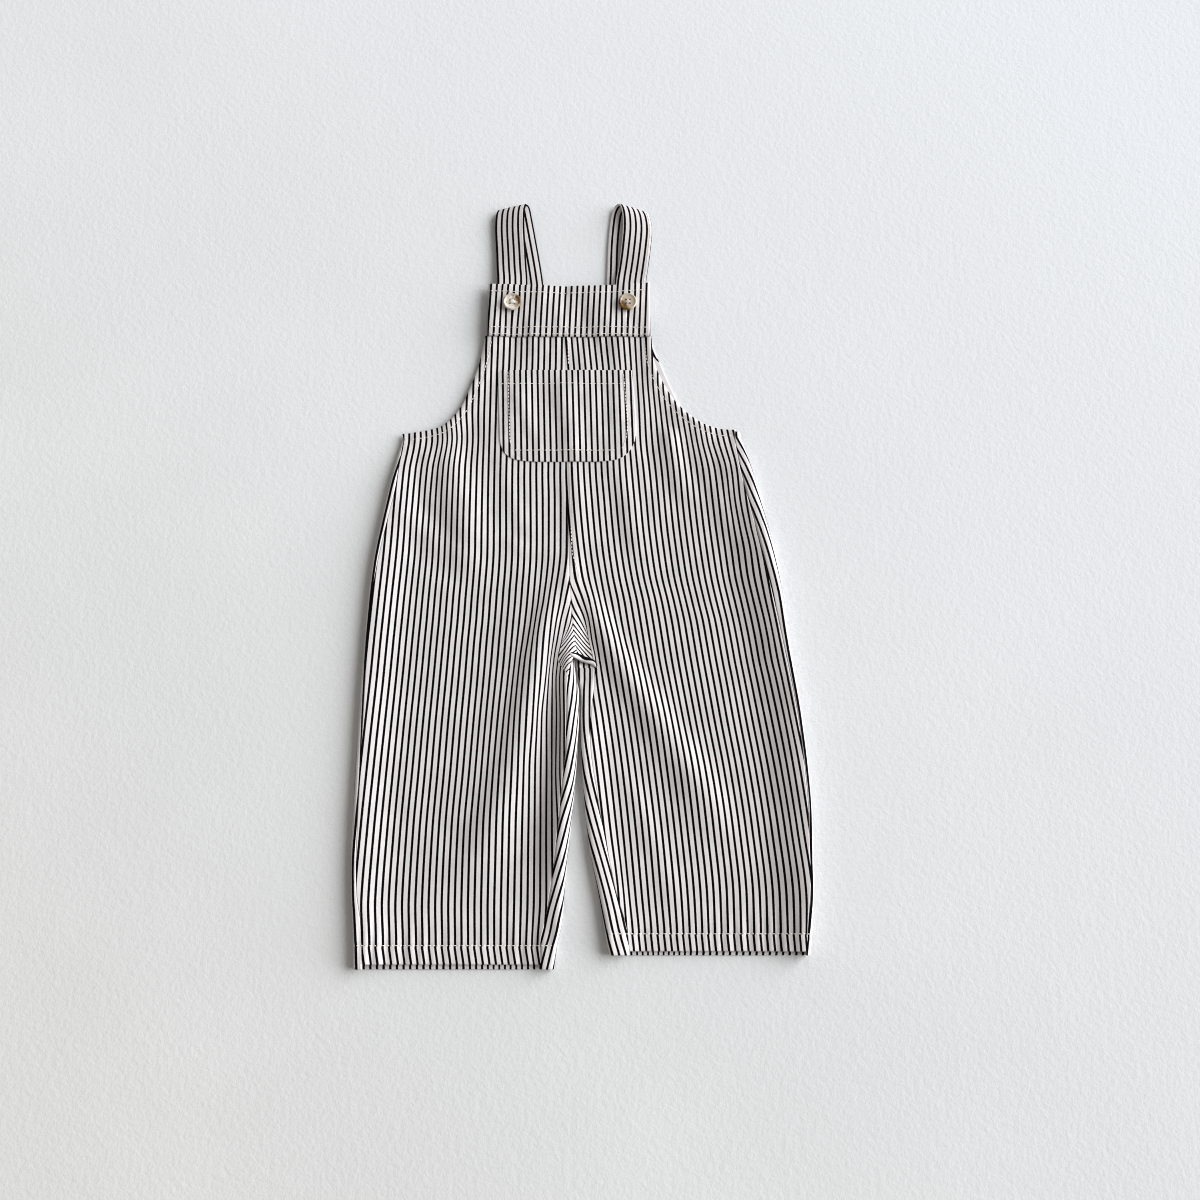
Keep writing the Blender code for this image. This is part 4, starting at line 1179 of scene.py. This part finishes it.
def strap(name, route, outer_start, inner_start):
    """A flattened tube of cloth along the strap's route."""
    middle, wanted, across, up = strap_line(route)
    half = STRAP_WIDTH / 2 - WALL / 2 - TURN
    flat = np.linspace(-half, half, STRAP_COLUMNS)
    spots = [(s, TURN) for s in flat]
    spots += [(half + TURN * math.sin(turn), TURN * math.cos(turn)) for turn in HALF_TURN[:-1]]
    spots += [(s, -TURN) for s in flat[::-1]]
    spots += [(-half - TURN * math.sin(turn), -TURN * math.cos(turn)) for turn in HALF_TURN]
    spots = np.array(spots)
    rise = spots[:, 1] + STRAP_CROWN * (1 - (spots[:, 0] / half) ** 2) * np.sign(spots[:, 1])
    points = middle[:, None, :] + spots[None, :, :1] * across[:, None, :]
    points = points + rise[None, :, None] * up[:, None, :]
    from_edge = spots[:, 0] + STRAP_WIDTH / 2
    along = wanted[:, None] + 0 * from_edge[None, :]
    turn_at = STRAP_COLUMNS + 2
    back_at = turn_at + STRAP_COLUMNS + 4
    patches = []
    for low, high, first_stripe in (
        (0, turn_at + 1, outer_start),
        (turn_at, back_at + 1, inner_start),
        (back_at, len(spots), outer_start),
    ):
        part = points[:, low:high]
        number = np.broadcast_to((from_edge[low:high] - first_stripe) / STRAP_PITCH, part.shape[:2])
        patches.append({"grid": part, "number": number, "along": along[:, low:high]})
    return cloth(name, patches)


# Buttons and stitches ----------------------------------------------------------------------------


def button_seat(x, y):
    return float(front_height(x, y)) + CAD_BAND_WALL - CAD_WALL / 2 + CAD_BUTTON_GAP


def button(name, x, y):
    """A turned four-hole button that rests on the band."""
    shape = bmesh.new()
    outline = [shape.verts.new((r * MM, 0, z * MM)) for r, z in smooth_line(BUTTON_PROFILE, 3)]
    edges = [shape.edges.new(pair) for pair in zip(outline, outline[1:])]
    turn = {"axis": (0, 0, 1), "cent": (0, 0, 0), "angle": 2 * math.pi, "steps": 64}
    bmesh.ops.spin(shape, geom=outline + edges, use_merge=True, **turn)
    bmesh.ops.remove_doubles(shape, verts=shape.verts, dist=0.00001)
    bmesh.ops.recalc_face_normals(shape, faces=shape.faces)
    mesh = bpy.data.meshes.new(name)
    shape.to_mesh(mesh)
    shape.free()
    disc = link("turned_" + name, mesh)
    pegs = bmesh.new()
    radius = BUTTON_HOLE * MM
    for sx in (-1, 1):
        for sy in (-1, 1):
            peg = {"segments": 20, "radius1": radius, "radius2": radius, "depth": 8 * MM}
            made = bmesh.ops.create_cone(pegs, cap_ends=True, **peg)
            bmesh.ops.translate(pegs, verts=made["verts"], vec=Vector((sx, sy, 0)) * BUTTON_HOLES_AT * MM)
    peg_mesh = bpy.data.meshes.new(name + "_pegs")
    pegs.to_mesh(peg_mesh)
    pegs.free()
    cutter = link(name + "_pegs", peg_mesh)
    punch = disc.modifiers.new("holes", "BOOLEAN")
    punch.operation = "DIFFERENCE"
    punch.solver = "EXACT"
    punch.object = cutter
    graph = bpy.context.evaluated_depsgraph_get()
    cut = bpy.data.meshes.new_from_object(disc.evaluated_get(graph))
    disc.modifiers.clear()
    disc.data = cut
    bpy.data.objects.remove(cutter)
    cut.transform(Matrix.Translation(Vector((x, y, button_seat(x, y))) * MM))
    cut.shade_smooth()
    cut.set_sharp_from_angle(angle=math.radians(50))
    cut.materials.clear()
    return dress(disc, name)


# Rings of one stitch: place along it, thickness and lift
STITCH_RINGS = ((-0.5, 0.25, -0.25), (-0.4, 0.8, 0.0), (0.0, 1.0, 0.12), (0.4, 0.8, 0.0), (0.5, 0.25, -0.25))


def threads(name, segments, radius=0.3, sides=6):
    """Many short lengths of thread as one mesh. Each has two ends and dips at them."""
    points, faces = [], []
    rings = len(STITCH_RINGS)
    for a, b, up in segments:
        base = len(points)
        a, b, up = np.array(a, float), np.array(b, float), np.array(up, float)
        along = b - a
        across = np.cross(along, up)
        across /= np.linalg.norm(across)
        middle = (a + b) / 2
        for share, thick, lift in STITCH_RINGS:
            for k in range(sides):
                angle = 2 * math.pi * k / sides
                round_up = math.sin(angle) * radius * thick
                round_out = math.cos(angle) * radius * thick * 1.15
                rise = up * (lift * radius * 2 + round_up)
                points.append(middle + along * share + rise + across * round_out)
        for i in range(rings - 1):
            for k in range(sides):
                n = (k + 1) % sides
                p, q = base + i * sides, base + (i + 1) * sides
                faces.append((p + k, p + n, q + n, q + k))
        faces.append(tuple(base + k for k in range(sides))[::-1])
        faces.append(tuple(base + (rings - 1) * sides + k for k in range(sides)))
    mesh = bpy.data.meshes.new(name)
    mesh.from_pydata((np.asarray(points) * MM).tolist(), [], faces)
    mesh.shade_smooth()
    return dress(link(name, mesh), "thread")


def stitch_row(plan, height, pitch=2.7, length=2.1):
    """Stitches along a plan line, lying on a surface of the given height function."""
    plan = np.array(plan, float)
    reach = lengths(plan)[-1]
    found = []
    for start in np.arange(0.4, reach - length, pitch):
        ends = at_lengths(plan, np.array([start, start + length]))
        points = [(p[0], p[1], float(height(p[0], p[1]))) for p in ends]
        found.append((points[0], points[1], (0, 0, 1)))
    return found


def front_top(half):
    return lambda x, y: front_middle(np.array(x), np.array(y), half) + WALL / 2


def band_top(x, y):
    return front_height(x, y) + BAND_LIFT + WALL / 2


def pocket_top(x, y):
    return front_height(x, y) + pocket_lift(x, y) + 0.3


def sew():
    """All the visible stitching, piece by piece."""
    rows = []
    xs = np.linspace(-70.0, 48.0, 60)
    for heights in (read(BAND, xs, 2) - BAND_STITCH, *(0 * xs + y for y in BAND_LOW_STITCHES)):
        rows += stitch_row(np.stack([xs, heights], axis=1), band_top)
    for half in HALVES:
        stitch = half.hem[1]
        start = float(read(half.side, stitch)) + half.toward * 2.0
        stop = float(read(half.inner, stitch)) - half.toward * 2.0
        rows += stitch_row([(start, stitch), (stop, stitch)], front_top(half))
        rows += stitch_row(ARM_STITCHES[half.name][3:-1], front_top(half))
    ys = np.linspace(-60.0, 166.0, 80)
    centre = np.stack([read(CENTRE_FRONT, ys) + 2.2 + 4.6 * ease(ys, 4.0, -18.0), ys], axis=1)
    for seen in (centre[14:46], centre[72:]):  # below the pocket and above it
        rows += stitch_row(seen, front_top(RIGHT))
    threads("stitching", rows)
    strap_rows = [stitch for route, _, _ in STRAPS.values() for stitch in strap_stitches(route)]
    threads("strap_stitching", strap_rows, radius=0.22)
    ys = np.linspace(140.0, 79.0, 40)
    from_left, from_right = POCKET_SEAMS
    rows = stitch_row([(float(read(POCKET, y, 1)) + from_left, y) for y in ys], pocket_top)
    rows += stitch_row([(float(read(POCKET, y, 2)) - from_right, y) for y in ys[::-1]], pocket_top)
    for seam in (POCKET_HEM_SEAM, POCKET_LOW_SEAM):
        rows += stitch_row(seam, pocket_top)
    threads("pocket_stitching", rows)


def button_threads(name, x, y):
    """A cross of doubled thread through the four holes."""
    height = button_seat(x, y) + 2.0
    rows = []
    for sx, sy in ((1, 1), (1, -1)):
        for shift in (-0.35, 0.35):
            a = (x - sx * THREADS_AT + shift * sy, y - sy * THREADS_AT - shift * sx, height)
            b = (x + sx * THREADS_AT + shift * sy, y + sy * THREADS_AT - shift * sx, height)
            rows.append((a, b, (0, 0, 1)))
    threads(name + "_thread", rows, radius=THREAD_RADIUS[name], sides=8)


# Materials ---------------------------------------------------------------------------------------


class Nodes:
    """Short calls for building one material's nodes."""

    def __init__(self, name, **settings):
        self.material = bpy.data.materials.new(name)
        self.material.use_nodes = True
        self.tree = self.material.node_tree
        self.shader = self.tree.nodes["Principled BSDF"]
        for key, value in settings.items():
            self.shader.inputs[key.replace("_", " ")].default_value = value

    def add(self, kind, **settings):
        node = self.tree.nodes.new(kind)
        for key, value in settings.items():
            setattr(node, key, value)
        return node

    def put(self, source, target):
        if isinstance(source, (int, float, tuple)):
            target.default_value = source
        else:
            self.tree.links.new(source, target)

    def split(self, vector):
        node = self.add("ShaderNodeSeparateXYZ")
        self.put(vector, node.inputs[0])
        return node.outputs

    def math(self, operation, a, b=0.0, c=0.0):
        node = self.add("ShaderNodeMath", operation=operation)
        for k, value in enumerate((a, b, c)):
            self.put(value, node.inputs[k])
        return node.outputs[0]

    def noise(self, vector, scale, detail=2.0, rough=0.5):
        node = self.add("ShaderNodeTexNoise")
        self.put(vector, node.inputs["Vector"])
        node.inputs["Scale"].default_value = scale
        node.inputs["Detail"].default_value = detail
        node.inputs["Roughness"].default_value = rough
        return node.outputs[0]

    def ramp(self, value, low, high, to_low=0.0, to_high=1.0, smooth=True):
        node = self.add("ShaderNodeMapRange")
        if smooth:
            node.interpolation_type = "SMOOTHSTEP"
        self.put(value, node.inputs[0])
        for k, number in enumerate((low, high, to_low, to_high)):
            self.put(number, node.inputs[k + 1])
        return node.outputs[0]

    def mix(self, share, a, b):
        node = self.add("ShaderNodeMix", data_type="RGBA", blend_type="MIX")
        self.put(share, node.inputs[0])
        self.put(a, node.inputs[6])
        self.put(b, node.inputs[7])
        return node.outputs[2]

    def colour(self, source):
        self.put(source, self.shader.inputs["Base Color"])

    def bump(self, height, strength, distance):
        node = self.add("ShaderNodeBump")
        node.inputs["Strength"].default_value = strength
        node.inputs["Distance"].default_value = distance
        self.put(height, node.inputs["Height"])
        self.tree.links.new(node.outputs[0], self.shader.inputs["Normal"])


def striped_cotton():
    """Plain-woven cotton with woven black stripes, one at each whole stripe number."""
    n = Nodes("striped_cotton", Sheen_Weight=0.03, Sheen_Roughness=0.5, Specular_IOR_Level=0.1)
    uv = n.add("ShaderNodeUVMap", uv_map="grain").outputs[0]
    u, v, _ = n.split(uv)
    place = n.add("ShaderNodeTexCoord").outputs["Object"]
    wander = n.math("MULTIPLY", n.math("SUBTRACT", n.noise(uv, 2.2, 2.0), 0.5), 0.05)
    ragged = n.math("MULTIPLY", n.math("SUBTRACT", n.noise(uv, 14.0, 1.0), 0.5), 0.03)
    gusset = n.split(n.add("ShaderNodeUVMap", uv_map="gusset").outputs[0])
    in_gusset = n.math("GREATER_THAN", gusset[1], 0.0)
    number = n.math("MULTIPLY_ADD", n.math("SUBTRACT", gusset[0], u), in_gusset, u)
    shifted = n.math("ADD", number, n.math("ADD", wander, ragged))
    away = n.math("ABSOLUTE", n.math("SUBTRACT", n.math("FRACT", n.math("ADD", shifted, 0.5)), 0.5))
    white = n.ramp(away, 0.172, 0.190)
    cloudy = n.ramp(n.noise(place, 60.0, 3.0), 0.3, 0.7)
    light = n.mix(cloudy, (0.70, 0.676, 0.672, 1), (0.76, 0.734, 0.73, 1))
    fleck = n.ramp(n.noise(uv, 30.0, 2.0), 0.55, 0.75)
    light = n.mix(n.math("MULTIPLY", fleck, 0.12), light, (0.62, 0.58, 0.54, 1))
    dark = n.mix(cloudy, (0.0015, 0.0012, 0.002, 1), (0.004, 0.0035, 0.005, 1))
    n.colour(n.mix(white, dark, light))
    # warp and weft, nine threads to a stripe
    warp = n.math("SINE", n.math("MULTIPLY", u, 2 * math.pi * 9))
    weft = n.math("SINE", n.math("MULTIPLY", v, 2 * math.pi * 9))
    weave = n.math("MULTIPLY", warp, weft)
    height = n.math("ADD", n.math("MULTIPLY", weave, 0.5), n.math("MULTIPLY", n.noise(uv, 9.0, 3.0), 0.6))
    n.bump(height, 0.35, 0.00012)
    n.put(n.ramp(cloudy, 0.0, 1.0, 0.82, 0.92), n.shader.inputs["Roughness"])
    return n.material


def sewing_thread():
    n = Nodes("thread", Roughness=0.7, Sheen_Weight=0.2)
    place = n.add("ShaderNodeTexCoord").outputs["Object"]
    shade = n.ramp(n.noise(place, 900.0, 2.0), 0.3, 0.7)
    n.colour(n.mix(shade, (0.74, 0.70, 0.63, 1), (0.86, 0.83, 0.77, 1)))
    twist = n.add("ShaderNodeTexWave")
    n.put(place, twist.inputs["Vector"])
    twist.inputs["Scale"].default_value = 1800.0
    n.bump(twist.outputs[0], 0.4, 0.00005)
    return n.material


def horn(name, angle, start, pale):
    """Mottled cream and brown resin: a brown patch on one side of the button."""
    n = Nodes(name, Roughness=0.28, Coat_Weight=0.35, Coat_Roughness=0.15)
    place = n.add("ShaderNodeTexCoord").outputs["Object"]
    moved = n.add("ShaderNodeVectorMath", operation="SUBTRACT")
    n.put(place, moved.inputs[0])
    moved.inputs[1].default_value = Vector((*BUTTONS[name], 0.0)) * MM
    x, y, _ = n.split(moved.outputs[0])
    side = n.math("ADD", n.math("MULTIPLY", x, math.cos(angle)), n.math("MULTIPLY", y, math.sin(angle)))
    cloudy = n.noise(place, 260.0, 3.0)
    edge = n.math("ADD", side, n.math("MULTIPLY", n.math("SUBTRACT", cloudy, 0.5), 0.010))
    patch = n.ramp(edge, start, start + 0.004)
    veins = n.ramp(n.noise(place, 520.0, 2.0), 0.35, 0.7)
    cream = n.mix(veins, pale, (0.56, 0.50, 0.40, 1))
    brown = n.mix(veins, (0.27, 0.15, 0.045, 1), (0.12, 0.065, 0.02, 1))
    n.colour(n.mix(patch, cream, brown))
    n.bump(cloudy, 0.12, 0.0002)
    return n.material


def floor_material():
    """Matt white with a fine uneven grain, and painted light: the floor grows lighter and bluer towards the
    upper right.
    """
    n = Nodes("floor", Roughness=0.8, Specular_IOR_Level=0.2)
    place = n.add("ShaderNodeTexCoord").outputs["Object"]
    cloudy = n.ramp(n.noise(place, 5.0, 4.0), 0.35, 0.7)
    plain = n.mix(cloudy, (0.722, 0.731, 0.72, 1), (0.752, 0.762, 0.75, 1))
    x, y, _ = n.split(place)
    # painted light: a lighter, bluer colour is mixed in towards the upper right
    painted_light_toward_upper_right = n.ramp(n.math("ADD", x, y), -0.6, 0.8, smooth=False)
    n.colour(n.mix(painted_light_toward_upper_right, plain, (0.815, 0.842, 0.862, 1)))
    coarse = n.math("MULTIPLY", n.noise(place, 60.0, 3.0), 0.5)
    n.bump(n.math("ADD", n.noise(place, 260.0, 4.0, 0.65), coarse), 0.4, 0.0007)
    return n.material


MATERIALS = {
    "striped_cotton": striped_cotton(),
    "thread": sewing_thread(),
    "button_left": horn("button_left", math.radians(25), 0.0016, (0.80, 0.77, 0.70, 1)),
    "button_right": horn("button_right", math.radians(215), 0.0002, (0.58, 0.51, 0.41, 1)),
}


# Making it ---------------------------------------------------------------------------------------


def main():
    lip = crotch_lip()
    for half in HALVES:
        name = half.name
        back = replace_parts(back_panel(half), "back_" + name)
        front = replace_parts(front_panel(half), "front_" + name, "armhole_hem_" + name, "leg_hem_" + name)
    bib_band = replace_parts(band(), "bib_band")
    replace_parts(pocket(), "pocket")
    for name, route_and_stripes in STRAPS.items():
        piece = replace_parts(strap("cloth_strap_" + name, *route_and_stripes), "strap_" + name)
    sew()
    for name, (x, y) in BUTTONS.items():
        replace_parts(button(name, x, y), name)
        button_threads(name, x, y)


def camera_and_light():
    scene = bpy.context.scene
    camera = link("camera", bpy.data.cameras.new("camera"))
    camera.data.lens = 36.0
    camera.data.sensor_width = 36.0
    camera.data.clip_start = 0.05
    camera.location = Vector(CAMERA) * MM
    camera.rotation_euler = (math.radians(TILT), 0.0, 0.0)
    scene.camera = camera
    sun = link("sun", bpy.data.lights.new("sun", "SUN"))
    sun.data.energy = 5.9
    sun.data.angle = math.radians(66)
    sun.data.color = (0.955, 0.962, 1.0)
    up, round_z = math.radians(SUN_ELEVATION), math.radians(SUN_AZIMUTH)
    toward = Vector((math.cos(round_z) * math.cos(up), math.sin(round_z) * math.cos(up), math.sin(up)))
    sun.rotation_euler = toward.to_track_quat("Z", "Y").to_euler()
    scene.world = bpy.data.worlds.new("world")
    scene.world.use_nodes = True
    background = scene.world.node_tree.nodes["Background"]
    background.inputs[0].default_value = (1.0, 0.96, 0.915, 1)
    background.inputs[1].default_value = 0.385
    scene.view_settings.view_transform = "Standard"
    scene.view_settings.gamma = 0.8
    scene.cycles.filter_width = 1.1


def floor():
    mesh = bpy.data.meshes.new("floor")
    size = FLOOR_SIZE * MM
    corners = [(-size, -size, 0), (size, -size, 0), (size, size, 0), (-size, size, 0)]
    mesh.from_pydata(corners, [], [(0, 1, 2, 3)])
    thing = link("floor", mesh)
    mesh.materials.append(floor_material())


main()
floor()
camera_and_light()
